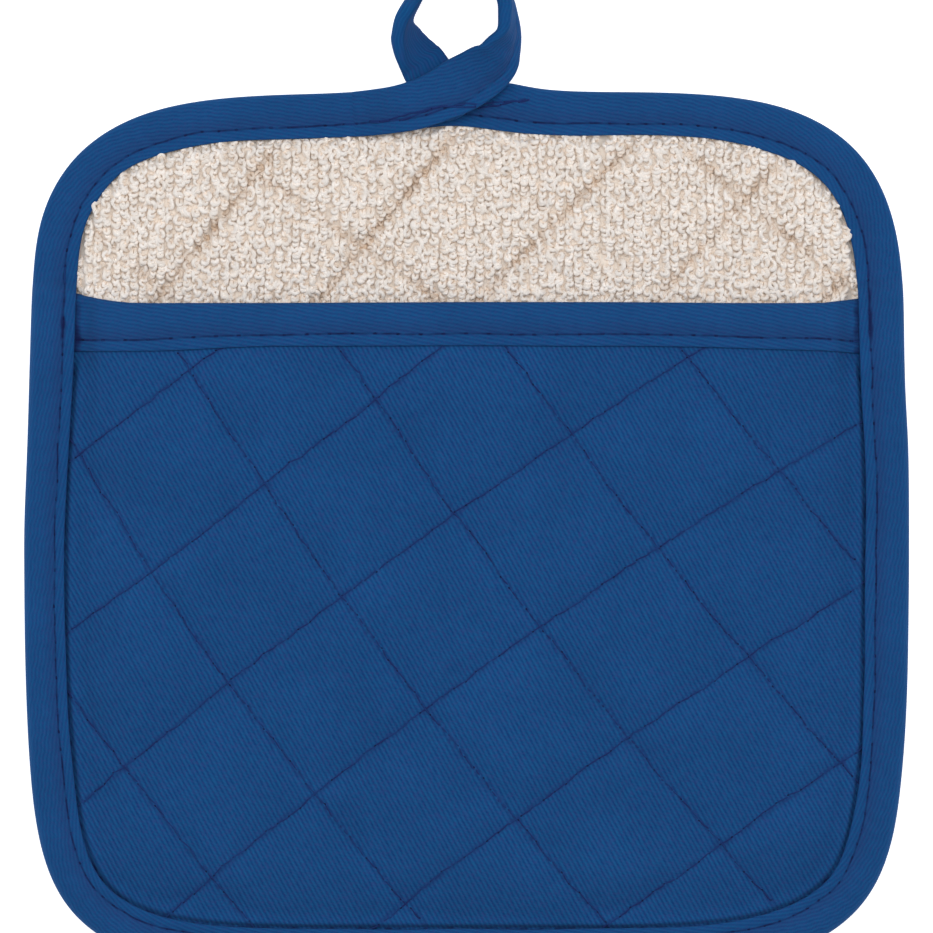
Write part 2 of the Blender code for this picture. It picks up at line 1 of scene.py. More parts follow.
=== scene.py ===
# %% [markdown]
# # A quilted pot holder with a hand pocket
#
# The object is a square pad of quilted cloth with rounded corners. One face is cream terry, and
# a quilted blue twill pocket covers the lower three quarters of it. A folded twill strip binds
# the pocket's mouth, and a second one binds the whole outline. The second strip's free end
# crosses over its own start at the top and makes the hanging loop.
#
# The CAD model gives four plain solids, one for each piece that a maker cuts. Here each one is
# replaced by a softer, finer mesh in the same place, and the things that CAD leaves out are
# added: the terry's loops, the stitches and the weave.

import math

import bpy
import numpy as np
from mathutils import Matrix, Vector


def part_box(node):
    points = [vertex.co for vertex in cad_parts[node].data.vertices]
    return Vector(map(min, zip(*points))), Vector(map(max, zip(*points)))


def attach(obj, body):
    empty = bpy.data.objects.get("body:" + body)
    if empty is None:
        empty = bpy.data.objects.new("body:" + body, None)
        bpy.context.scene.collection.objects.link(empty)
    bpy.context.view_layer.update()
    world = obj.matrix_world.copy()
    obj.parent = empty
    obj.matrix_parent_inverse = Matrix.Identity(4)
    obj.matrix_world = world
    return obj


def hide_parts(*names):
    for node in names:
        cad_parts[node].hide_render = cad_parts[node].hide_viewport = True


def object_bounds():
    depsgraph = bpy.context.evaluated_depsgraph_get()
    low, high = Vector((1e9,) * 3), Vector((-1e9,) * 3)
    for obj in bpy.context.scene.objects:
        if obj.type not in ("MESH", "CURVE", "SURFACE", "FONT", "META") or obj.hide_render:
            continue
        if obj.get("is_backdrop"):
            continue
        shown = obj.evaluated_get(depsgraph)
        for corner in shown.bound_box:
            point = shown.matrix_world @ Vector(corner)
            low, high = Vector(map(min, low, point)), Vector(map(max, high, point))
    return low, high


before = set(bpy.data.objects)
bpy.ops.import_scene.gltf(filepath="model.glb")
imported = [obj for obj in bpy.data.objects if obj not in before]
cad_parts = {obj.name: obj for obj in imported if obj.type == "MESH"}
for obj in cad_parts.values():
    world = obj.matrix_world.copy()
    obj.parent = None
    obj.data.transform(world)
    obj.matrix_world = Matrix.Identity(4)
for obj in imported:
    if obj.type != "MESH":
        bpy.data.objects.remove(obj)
cad_low, cad_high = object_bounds()
for node_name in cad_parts:
    low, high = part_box(node_name)
    print(node_name, [round(1000 * (b - a), 1) for a, b in zip(low, high)], "mm")

# %% [markdown]
# ## Camera, light and floor
#
# The photograph looks straight down on the pot holder, and nothing in it shows perspective. A
# long lens three metres up gives the same view. The two long sides of the binding are a little
# brighter than its top, so light comes from two soft panels, left and right. The terry's curls
# have only faint shadows, so there is a third panel above, beside the camera, and an even white
# surrounding. The floor gives off a little light of its own, because a studio background is lit
# until it is plain white.

# %% Camera
FIELD = 0.2142  # metres of cloth that the photograph is wide
CENTRE_OF_VIEW = (0.0001, 0.0005)
CAMERA_HEIGHT = 3.0
FOCUS_HEIGHT = 0.004
SENSOR = 36  # millimetres

camera_data = bpy.data.cameras.new("camera")
camera_data.sensor_width = SENSOR
camera_data.lens = SENSOR * (CAMERA_HEIGHT - FOCUS_HEIGHT) / FIELD
camera = bpy.data.objects.new("camera", camera_data)
camera.location = (*CENTRE_OF_VIEW, CAMERA_HEIGHT)
bpy.context.scene.collection.objects.link(camera)
bpy.context.scene.camera = camera
print("lens", round(camera_data.lens), "mm")

# %% Soft light from both sides and all round
SIDE_LIGHT_POWER = 5.5
TOP_LIGHT_POWER = 14.0
SURROUNDING = 0.24


def soft_panel(name, place, power, width, height):
    light = bpy.data.lights.new(name, "AREA")
    light.shape = "RECTANGLE"
    light.size = width
    light.size_y = height
    light.energy = power
    panel = bpy.data.objects.new(name, light)
    panel.location = place
    panel.rotation_euler = (-Vector(place)).to_track_quat("-Z", "Y").to_euler()
    bpy.context.scene.collection.objects.link(panel)


for name, x in (("panel_left", -1.15), ("panel_right", 1.15)):
    soft_panel(name, (x, 0.15, 0.95), SIDE_LIGHT_POWER, 1.0, 1.4)
soft_panel("panel_above", (0.0, 0.35, 1.7), TOP_LIGHT_POWER, 1.4, 1.0)

world = bpy.data.worlds.new("studio")
world.use_nodes = True
background = world.node_tree.nodes["Background"]
background.inputs["Color"].default_value = (1.0, 1.0, 1.0, 1.0)
background.inputs["Strength"].default_value = SURROUNDING
bpy.context.scene.world = world
bpy.context.scene.view_settings.view_transform = "Standard"
print("two panels of", SIDE_LIGHT_POWER, "W and one of", TOP_LIGHT_POWER, "W")


# %% Helpers for nodes and colours
bench = {}  # the tree that new nodes go into, and its inputs


def linear(red, green, blue):
    """A colour read from a picture, 0 to 255, as the shader wants it."""
    shares = (red / 255, green / 255, blue / 255)
    return tuple(((c + 0.055) / 1.055) ** 2.4 if c > 0.04045 else c / 12.92 for c in shares) + (1.0,)


def add(kind, inputs=None, out=0, **settings):
    """Adds a node and gives one of its outputs. An input is a value, or another node's output."""
    new = bench["tree"].nodes.new(kind)
    for name, value in settings.items():
        setattr(new, name, value)
    for name, value in (inputs or {}).items():
        if isinstance(value, bpy.types.NodeSocket):
            bench["tree"].links.new(value, new.inputs[name])
        else:
            new.inputs[name].default_value = value
    return new.outputs[out]


def calculate(operation, first, second=0.0):
    return add("ShaderNodeMath", {0: first, 1: second}, operation=operation)


def plus(first, second):
    return calculate("ADD", first, second)


def times(first, second):
    return calculate("MULTIPLY", first, second)


def between(value, low, high, to_low=0.0, to_high=1.0):
    """Turns the range low..high of a value into to_low..to_high, and holds it there."""
    return add("ShaderNodeMapRange", {0: value, 1: low, 2: high, 3: to_low, 4: to_high})


def blend_colours(share, colour_a, colour_b, blend_type="MIX"):
    inputs = {0: share, 6: colour_a, 7: colour_b}
    return add("ShaderNodeMix", inputs, 2, data_type="RGBA", blend_type=blend_type)


def shaded(colour, factor):
    """A colour made darker or lighter by a factor."""
    grey = add("ShaderNodeCombineColor", {"Red": factor, "Green": factor, "Blue": factor})
    return blend_colours(1.0, colour, grey, "MULTIPLY")


def attribute(name):
    return add("ShaderNodeAttribute", out="Fac", attribute_name=name)


def coordinates(kind="Object"):
    return add("ShaderNodeTexCoord", out=kind)


def noise(place, scale, detail=2.0):
    return add("ShaderNodeTexNoise", {"Vector": place, "Scale": scale, "Detail": detail})


def new_material(name, roughness, sheen=0.0):
    """A matte material. Its tree goes on the bench."""
    material = bpy.data.materials.new(name)
    material.use_nodes = True
    bench["tree"] = material.node_tree
    shader = material.node_tree.nodes["Principled BSDF"]
    shader.inputs["Roughness"].default_value = roughness
    shader.inputs["Specular IOR Level"].default_value = 0.04
    shader.inputs["Sheen Weight"].default_value = sheen
    shader.inputs["Sheen Roughness"].default_value = 0.6
    return material, shader


def finish_material(shader, colour, height=None, depth=0.0):
    """Links the colour, and the threads' height as a fine relief."""
    links = bench["tree"].links
    links.new(colour, shader.inputs["Base Color"])
    if height is not None:
        bump = add("ShaderNodeBump", {"Strength": 0.7, "Distance": depth, "Height": height})
        links.new(bump, shader.inputs["Normal"])


def glow(shader, colour, strength):
    shader.inputs["Emission Color"].default_value = colour
    shader.inputs["Emission Strength"].default_value = strength


# %% Floor
FLOOR_GLOW = 0.78
FLOOR_SIDE = 4.0
FLOOR_Z = -0.0002  # just under the cloth

floor_material, shader = new_material("studio_floor", 0.9)
mottle = add("ShaderNodeTexNoise", {"Scale": 6.0, "Detail": 3.0})
finish_material(shader, blend_colours(mottle, (0.78, 0.78, 0.78, 1), (0.82, 0.82, 0.82, 1)))
glow(shader, (1.0, 1.0, 1.0, 1.0), FLOOR_GLOW)

floor_mesh = bpy.data.meshes.new("floor")
half = FLOOR_SIDE / 2
corners = [(x * half, y * half, FLOOR_Z) for x, y in ((-1, -1), (1, -1), (1, 1), (-1, 1))]
floor_mesh.from_pydata(corners, [], [(0, 1, 2, 3)])
floor_mesh.materials.append(floor_material)
floor = bpy.data.objects.new("floor", floor_mesh)
bpy.context.scene.collection.objects.link(floor)
floor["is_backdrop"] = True
print("floor is in place")

# %% [markdown]
# ## The outline and the quilting, as rules
#
# Every piece follows the same outline, so it is worked out once. Each quarter is a superellipse,
# which is a square whose corners are rounded by a power: the higher the power, the squarer the
# corner. The quilting lines are nearly straight, so each one is an offset from the middle, a
# tilt and a slight bow. From these two rules come the distance to the edge and the distance to
# the nearest seam, and from those distances every cloth surface below.

# %% Sizes of the cut pieces, in metres
MM = 0.001
HALF_WIDTH = 101.6 * MM
HALF_HEIGHT = 100.9 * MM
MIDDLE = np.array([0.0, -14.55 * MM])
TOP_Y = MIDDLE[1] + HALF_HEIGHT
BOTTOM_Y = MIDDLE[1] - HALF_HEIGHT
MOUTH_Y = TOP_Y - 48.4 * MM
CORNER_POWER = {(1, 1): 5.15, (-1, 1): 5.0, (-1, -1): 5.3, (1, -1): 5.0}
GAP = 0.3 * MM

EDGE_WIDTH = 9.9 * MM  # how much of the edge strip shows on each face
EDGE_CLOTH = 0.8 * MM
EDGE_FOLD = 1.2 * MM
PAD_INSET = EDGE_FOLD + GAP
MARGIN = EDGE_WIDTH - EDGE_FOLD + 2 * GAP
LIP = EDGE_WIDTH - PAD_INSET  # from a pad's edge to the edge strip's inner edge

MOUTH_WIDTH = 9.9 * MM
MOUTH_CLOTH = 0.6 * MM
MOUTH_FOLD = 0.8 * MM
MOUTH_LIFT = MOUTH_CLOTH + GAP

# how thick the pads are at their edges, and how high their faces and the strip lie there
BACK_THICK = 2.0 * MM
POCKET_THICK = 2.0 * MM
MOUTH_THICK = 1.2 * MM
UNDER_MARGIN_Z = EDGE_CLOTH + GAP
BACK_MARGIN_Z = UNDER_MARGIN_Z + BACK_THICK
BACK_CROWN_Z = 5.2 * MM
POCKET_MARGIN_Z = BACK_MARGIN_Z + GAP
EDGE_HEIGHT = BACK_MARGIN_Z + GAP + EDGE_CLOTH
EDGE_HEIGHT_POCKET = POCKET_MARGIN_Z + POCKET_THICK + GAP + EDGE_CLOTH
EDGE_HEIGHT_MOUTH = POCKET_MARGIN_Z + 2 * MOUTH_LIFT + MOUTH_THICK + GAP + EDGE_CLOTH
print("mouth at", round(1000 * MOUTH_Y, 2), "mm, edge strip", round(1000 * EDGE_HEIGHT, 1), "mm high")


# %% The outline
def smoothstep(start, end, value):
    t = np.clip((np.asarray(value, float) - start) / (end - start), 0.0, 1.0)
    return t * t * (3 - 2 * t)


def hump(value, centre, width):
    """1 at the centre, fading smoothly on both sides of it."""
    return np.exp(-(((value - centre) / width) ** 2))


def polar(points, middle=MIDDLE):
    """The direction and the distance of points from a middle."""
    offset = points - middle
    return np.arctan2(offset[:, 1], offset[:, 0]), np.hypot(offset[:, 0], offset[:, 1])


# the cloth is drawn in where the mouth is sewn and at the corners: millimetres by direction
PULL_AT = [-180, -168, -162, -156, -150, -144, -138, -126, -108, -90, -66, -48, -42, -36, -30, -24]
PULL = [-0.05, -0.2, -0.4, -0.7, -0.9, -0.6, 0.0, 0.2, 0.0, 0, 0.1, 0.05, 0.35, -0.1, -0.6, -0.35]
PULL_AT += [-18, -6, 6, 12, 18, 24, 30, 36, 48, 54, 60, 66, 78, 90, 102, 114]
PULL += [-0.1, 0.15, 0.15, -0.05, -0.75, -0.85, -0.2, 0.2, 0.15, 0.5, 0.5, 0.4, 0.05, 0, -0.2, -0.2]
PULL_AT += [126, 132, 144, 150, 156, 162, 168, 174, 180]
PULL += [-0.35, -0.55, 0.15, -1.0, -1.4, -1.2, -0.9, -0.45, -0.05]

# how much wider the edge strip's upper face shows than its usual width, by direction too
SPREAD_AT = [-180, -164, -155, -151, -147, -130, -50, -33, -29, -25, -16, -6, 4, 9, 19]
SPREAD = [-0.45, -0.5, -0.25, 0, 0.2, 0, 0, 0, -0.3, 0, 0.35, 0.3, 0.15, 0.2, 0.25]
SPREAD_AT += [24, 30, 34, 38, 45, 53, 57, 61, 66, 70, 74, 78, 80, 82, 85]
SPREAD += [0.45, 0.4, 0.7, 0.75, 0.8, 0.75, 0.5, 0.3, 0.15, 0.1, 0.3, 0.5, 0.6, 0.8, 0.95]
SPREAD_AT += [87, 93, 97, 106, 111, 121, 135, 146, 152, 156, 161, 166, 171, 176, 180]
SPREAD += [0.85, 0.3, 0.4, 0.5, 0.3, 0.2, 0, 0.4, 0.45, 0.45, 0.25, -0.05, -0.45, -0.45, -0.45]
FINE = np.linspace(-180, 180, 721)


def smooth_table(at, values):
    """A table by direction, in mm, turned into a smooth curve in metres."""
    curve = np.interp(FINE, at, values)
    return MM * np.convolve(np.r_[curve[-13:-1], curve, curve[1:13]], np.hanning(25) / 12, "valid")


def body_outline(count=1440):
    """Points round the body, clockwise from the middle of its top edge."""
    pulled = smooth_table(PULL_AT, PULL)
    points = []
    for angle in np.radians(90.0 - np.linspace(0.0, 360.0, count + 1)):
        c, s = math.cos(angle), math.sin(angle)
        power = CORNER_POWER[(1 if c >= 0 else -1, 1 if s >= 0 else -1)]
        radius = (abs(c / HALF_WIDTH) ** power + abs(s / HALF_HEIGHT) ** power) ** (-1 / power)
        x, y = radius * c, radius * s
        if s >= 0:  # the low swell where the strip's two ends cross
            y += 2.6 * MM * hump(x, -2.0 * MM, 18.0 * MM)
        direction = math.atan2(y, x)
        draw = np.interp(math.degrees(direction), FINE, pulled)
        points.append((x + draw * math.cos(direction), y + draw * math.sin(direction) + MIDDLE[1]))
    return np.array(points)


def run_along(points):
    """The length along a path at each of its points."""
    return np.r_[0.0, np.cumsum(np.linalg.norm(np.diff(points, axis=0), axis=1))]


def read_off(places, measure, columns):
    """Each column of a table at places along its measure."""
    return np.stack([np.interp(places, measure, column) for column in columns.T], axis=-1)


SPREAD_CURVE = smooth_table(SPREAD_AT, SPREAD)
OUTLINE = body_outline()
OUTLINE_RUN = run_along(OUTLINE)
PERIMETER = OUTLINE_RUN[-1]


def outline_at(run):
    """Points and inward directions at lengths along the outline, clockwise from the top centre."""
    point, before, after = (
        read_off(np.mod(run + step, PERIMETER), OUTLINE_RUN, OUTLINE) for step in (0, -0.6 * MM, 0.6 * MM)
    )
    along = after - before
    along /= np.linalg.norm(along, axis=-1, keepdims=True)
    return point, np.stack([along[..., 1], -along[..., 0]], axis=-1)


def spread_at(points):
    return np.interp(np.degrees(polar(points)[0]), FINE, SPREAD_CURVE)


def distance_inside(points):
    """How far points lie inside the pads' own outline, counted so that the strip ends at LIP."""
    start, run = OUTLINE[:-1:2], OUTLINE[2::2] - OUTLINE[:-1:2]
    nearest = np.empty(len(points))
    for first in range(0, len(points), 2000):
        some = points[first : first + 2000, None, :] - start[None]
        t = np.clip((some * run).sum(axis=2) / (run**2).sum(axis=1), 0.0, 1.0)
        apart = some - t[..., None] * run
        nearest[first : first + 2000] = np.sqrt((apart**2).sum(axis=2).min(axis=1))
    return nearest - PAD_INSET - spread_at(points)


def inside_body(points):
    """True for points inside the outline."""
    edge_angle, edge_reach = polar(OUTLINE[:-1])
    order = np.argsort(edge_angle)
    angle, reach = polar(points)
    return reach < np.interp(angle, edge_angle[order], edge_reach[order])


print("once round the outline:", round(1000 * PERIMETER, 1), "mm")

# %% The quilting lines
# angle of each family to +X: (offset in mm, tilt in percent, bow in mm over 100 mm) of its lines
POCKET_QUILT = {
    35.5: [(54.4, -3.6, -5.5), (25.2, 4.0, 1.2), (-7.0, -1.0, -4.0),
           (-39.5, -1.9, -4.7), (-71.8, -1.7, -4.7), (-104.2, -1.0, -0.8)],
    -53.0: [(-103.7, 0.1, 3.7), (-72.6, -2.6, 7.1), (-40.1, -3.0, 5.8),
            (-8.0, -2.2, 4.7), (23.8, -0.8, 4.6), (55.5, 2.3, 2.6)],
}
RISING, FALLING = 48.5, -36.0
BACK_QUILT = {
    RISING: [(110.0, 2.0, 0), (80.0, 5.9, 0), (50.7, 3.8, 0), (25.6, -6.0, 0),
             (-6.3, -0.7, 0), (-36.0, 0, 0), (-66.0, 0, 0), (-96.0, 0, 0)],
    FALLING: [(118.0, -4.0, 0), (88.8, -7.7, 0), (59.7, 2.9, 0), (28.3, 1.9, 0),
              (-15.8, -9.9, 0), (-46.0, 0, 0), (-76.0, 0, 0), (-106.0, 0, 0)],
}


def quilt_lines(families):
    """Each line as its direction, its leftward direction and its three numbers."""
    for angle, rows in families.items():
        along = np.array([math.cos(math.radians(angle)), math.sin(math.radians(angle))])
        for row in rows:
            yield along, np.array([-along[1], along[0]]), row


def line_offset(a, row):
    return row[0] * MM + row[1] / 100 * a + row[2] * MM * (a / 0.1) ** 2


def distance_to_quilting(points, families):
    nearest = np.full(len(points), 1.0)
    for along, left, row in quilt_lines(families):
        side = points @ left - line_offset(points @ along, row)
        nearest = np.minimum(nearest, abs(side))
    return nearest


def dip(points, families, reach, power=2.0):
    """1 on a quilting line, fading to 0 at reach from it."""
    return (1 - np.clip(distance_to_quilting(points, families) / reach, 0, 1)) ** power


print(sum(len(rows) for rows in POCKET_QUILT.values()), "seams on the pocket")

# %% [markdown]
# ## The two pads' surfaces
#
# A quilted pad is fullest in the middle of each square and is drawn down along its seams. It is
# pressed flat where a strip is sewn over its edge. Both faces of each pad are height functions
# over the plane, so a stitch, a loop of terry or a strip can be set on them without a search.

# %% Heights of the pads
PILE_SINK = 0.7 * MM  # the terry's ground lies this far under the tops of its loops
SEAM_SINK = 2.4 * MM  # how deep the back's seams pull the terry's ground
LIP_PRESS = 1.25 * MM  # how far the strip's lip holds down the curls beside it
EASE = 5.5 * MM  # from the strip to where a pad is full


def back_faces(points):
    """The underside and the terry's ground of the back pad."""
    inside = distance_inside(points)
    full = smoothstep(MARGIN, MARGIN + EASE, inside)
    # the rising seams pull harder than the falling ones, and each bites unevenly
    rising, falling = (dip(points, {way: BACK_QUILT[way]}, 3.2 * MM) for way in (RISING, FALLING))
    bite = np.sin(points[:, 0] / (5.3 * MM)) * np.sin(points[:, 1] / (4.1 * MM) + 1)
    crease = np.maximum(rising * (0.75 + 0.25 * bite), falling * (0.45 + 0.35 * bite))
    low = UNDER_MARGIN_Z * (1 - full) + 0.8 * MM * dip(points, BACK_QUILT, 5.5 * MM) * full
    risen = smoothstep(LIP - 0.3 * MM, LIP + 3.0 * MM, inside)
    high = BACK_MARGIN_Z + (BACK_CROWN_Z - PILE_SINK - BACK_MARGIN_Z - SEAM_SINK * crease) * risen
    high = high - LIP_PRESS * hump(inside, LIP, 1.0 * MM)
    return low, high, crease * risen


ARCH = 6.8 * MM  # how far the pocket stands up to make room for a hand
QUILT_PULL = 1.2 * MM  # how deep its seams are
QUILT_SWELL = 0.6 * MM  # how much thicker it is where it is full
LIP_SWELL = 1.0 * MM  # how far it swells up beside the edge strip's lip
LIP_TUCK = 0.5 * MM  # how far it is drawn in under that lip, where the stitches pull


def pocket_faces(points):
    """The inner and the outer face of the pocket pad, arched up off the back."""
    x, y = points[:, 0], points[:, 1]
    inside = distance_inside(points)
    full = smoothstep(MARGIN, MARGIN + EASE, inside)
    mouth = smoothstep(MOUTH_Y - 17.0 * MM, MOUTH_Y - 10.8 * MM, y)
    below = 1 - mouth
    flank = np.clip((HALF_WIDTH - PAD_INSET - MARGIN - abs(x)) / (45 * MM), 0, 1)
    foot = BOTTOM_Y + PAD_INSET + MARGIN
    climb = np.clip((y - foot) / (MOUTH_Y - foot), 0, 1)
    arch = ARCH * (1 - (1 - flank) ** 2) * (1 - (1 - climb) ** 3) * full
    rest = POCKET_MARGIN_Z + MOUTH_LIFT * mouth + arch
    over_back = BACK_CROWN_Z + GAP - POCKET_MARGIN_Z
    seam = dip(points, POCKET_QUILT, 6.5 * MM, 1.6) * full * below
    low = rest + over_back * full + 0.4 * MM * seam
    # the outer face comes up more slowly from the edge strip than the inner one
    ease = smoothstep(LIP, LIP + 15.0 * MM, inside) * below + full * mouth
    thick = POCKET_THICK * below + MOUTH_THICK * mouth + QUILT_SWELL * ease * below
    high = rest + over_back * ease + thick - QUILT_PULL * seam
    puff = LIP_SWELL * smoothstep(LIP + 0.1 * MM, LIP + 1.3 * MM, inside)
    return low, high + (puff - LIP_TUCK * hump(inside, LIP, 0.5 * MM)) * below, inside


middle_low, middle_high, _ = pocket_faces(np.array([[0.0, 0.02]]))
print("pocket near its mouth: from", middle_low * 1000, "to", middle_high * 1000, "mm")


# %% A pad as a closed mesh
def grid_quads(rows, columns):
    """The numbers of a grid's points, row by row, and its faces."""
    index = np.arange(rows * columns).reshape(rows, columns)
    quads = np.stack([index[:-1, :-1], index[:-1, 1:], index[1:, 1:], index[1:, :-1]], axis=-1)
    return index, quads.reshape(-1, 4)


def mesh_piece(name, points, faces):
    mesh = bpy.data.meshes.new(name)
    mesh.from_pydata(np.asarray(points).tolist(), [], faces)
    mesh.polygons.foreach_set("use_smooth", [True] * len(mesh.polygons))
    mesh.calc_loop_triangles()
    corners = np.array([[mesh.vertices[i].co for i in t.vertices] for t in mesh.loop_triangles])
    volume = np.einsum("ij,ij->i", corners[:, 0], np.cross(corners[:, 1], corners[:, 2])).sum() / 6
    if volume < 0:
        mesh.flip_normals()
    piece = bpy.data.objects.new(name, mesh)
    bpy.context.scene.collection.objects.link(piece)
    print(name, len(mesh.loop_triangles), "triangles,", round(abs(volume) * 1e6, 1), "cubic cm")
    return piece


def store(piece, name, values, kind="FLOAT"):
    layer = piece.data.attributes.new(name, kind, "POINT")
    field = "value" if kind == "FLOAT" else "vector"
    layer.data.foreach_set(field, np.asarray(values, dtype=np.float32).ravel())


# the rings of a pad's grid lie closer together where the strip's lip presses on it
RING_SHARES, RINGS = (0, 0.72, 0.96, 1), (0, 0.845, 0.93, 1)


def plan_grid(border, middle, half_width, half_height, across, up):
    """A grid of squares stretched to fill a closed border, ring by ring."""
    angle, reach = polar(border, middle)
    order = np.argsort(angle)
    angle, reach = angle[order], reach[order]
    angle = np.r_[angle[-1] - 2 * math.pi, angle, angle[0] + 2 * math.pi]
    reach = np.r_[reach[-1], reach, reach[0]]
    u, v = np.meshgrid(np.linspace(-1, 1, across + 1), np.linspace(-1, 1, up + 1))
    u, v = u.ravel(), v.ravel()
    direction = np.arctan2(v * half_height, u * half_width)
    ring = np.interp(np.maximum(abs(u), abs(v)), RING_SHARES, RINGS) * np.interp(direction, angle, reach)
    return np.array(middle) + np.stack([ring * np.cos(direction), ring * np.sin(direction)], axis=1)


def pad_mesh(name, plan, low, high, across, up):
    """Closes a pad: top face, bottom face and a rounded wall between them."""
    count = len(plan)
    index, quads = grid_quads(up + 1, across + 1)
    rim = np.r_[index[0, :-1], index[:-1, -1], index[-1, :0:-1], index[:0:-1, 0]]
    outward = plan[rim] - plan.mean(axis=0)
    outward /= np.linalg.norm(outward, axis=1, keepdims=True)
    wall = np.c_[plan[rim] + 0.25 * MM * outward, (low[rim] + high[rim]) / 2]
    points = np.vstack([np.c_[plan, high], np.c_[plan, low], wall])
    wall_index = 2 * count + np.arange(len(rim))
    following, next_rim = np.roll(wall_index, -1), np.roll(rim, -1)
    upper = np.stack([rim, wall_index, following, next_rim], axis=1)
    lower = np.stack([wall_index, rim + count, next_rim + count, following], axis=1)
    faces = np.vstack([quads, quads[:, ::-1] + count, upper, lower])
    return mesh_piece(name, points, faces.tolist()), len(quads)


# %% Cut out the back pad
BACK_CELLS = 150

border = OUTLINE[:-1] + PAD_INSET * outline_at(OUTLINE_RUN[:-1])[1]
back_plan = plan_grid(border, MIDDLE, HALF_WIDTH, HALF_HEIGHT, BACK_CELLS, BACK_CELLS)
low, high, _ = back_faces(back_plan)
back_pad, top_faces = pad_mesh("back_pad", back_plan, low, high, BACK_CELLS, BACK_CELLS)

# %% Cut out the pocket pad
POCKET_CELLS = (186, 142)

pocket_top = MOUTH_Y - MOUTH_FOLD - GAP
below = border[border[:, 1] < pocket_top]
side = max(below[:, 0])
mouth_x = np.linspace(below[-1, 0], below[0, 0], 400)
mouth_y = pocket_top + 1.2 * MM * (abs(mouth_x) / HALF_WIDTH) ** 8
pocket_border = np.vstack([below, np.c_[mouth_x, mouth_y]])
pocket_middle = np.array([0.0, (pocket_top + BOTTOM_Y + PAD_INSET) / 2])
pocket_half = (pocket_top + 1.1 * MM - BOTTOM_Y - PAD_INSET) / 2
pocket_plan = plan_grid(pocket_border, pocket_middle, side, pocket_half, *POCKET_CELLS)
pocket_low, pocket_high, pocket_inside = pocket_faces(pocket_plan)
pocket_pad, _ = pad_mesh("pocket_pad", pocket_plan, pocket_low, pocket_high, *POCKET_CELLS)

# %% [markdown]
# ## The folded strips
#
# A binding strip is a long piece of twill with its raw edges turned in, folded over the edge
# that it binds and sewn through near its inner edges. The stitches draw a channel in it, and the
# part inside the channel stands up a little as a lip. So one section is drawn: lip, channel,
# round fold, channel, lip, and back along the inside. It is set up every millimetre along the
# path. The map coordinates run along and across the strip in metres, so that the weave keeps
# its size and its slant round every corner.

# %% One section of a strip
LIP_POINTS = np.array([0.5, 1.2, 1.95, 2.4, 2.85, 3.6, 4.6, 5.8, 7.0]) * MM  # from the inner edge
CHANNEL_POINT = 3
FOLD_POINTS = 9
CHANNEL_DEPTH = 0.42 * MM
LOWER_CHANNEL = 3 + CHANNEL_POINT
UPPER_CHANNEL = 3 + len(LIP_POINTS) + FOLD_POINTS + len(LIP_POINTS) - 1 - CHANNEL_POINT
WHOLE_LEG = 8.2 * MM  # a leg shorter than this has its points squeezed together
ROUNDEST_TURN = 2.5 * MM
# the share of painted highlight on the lips
LIP_HIGHLIGHT = 0.45


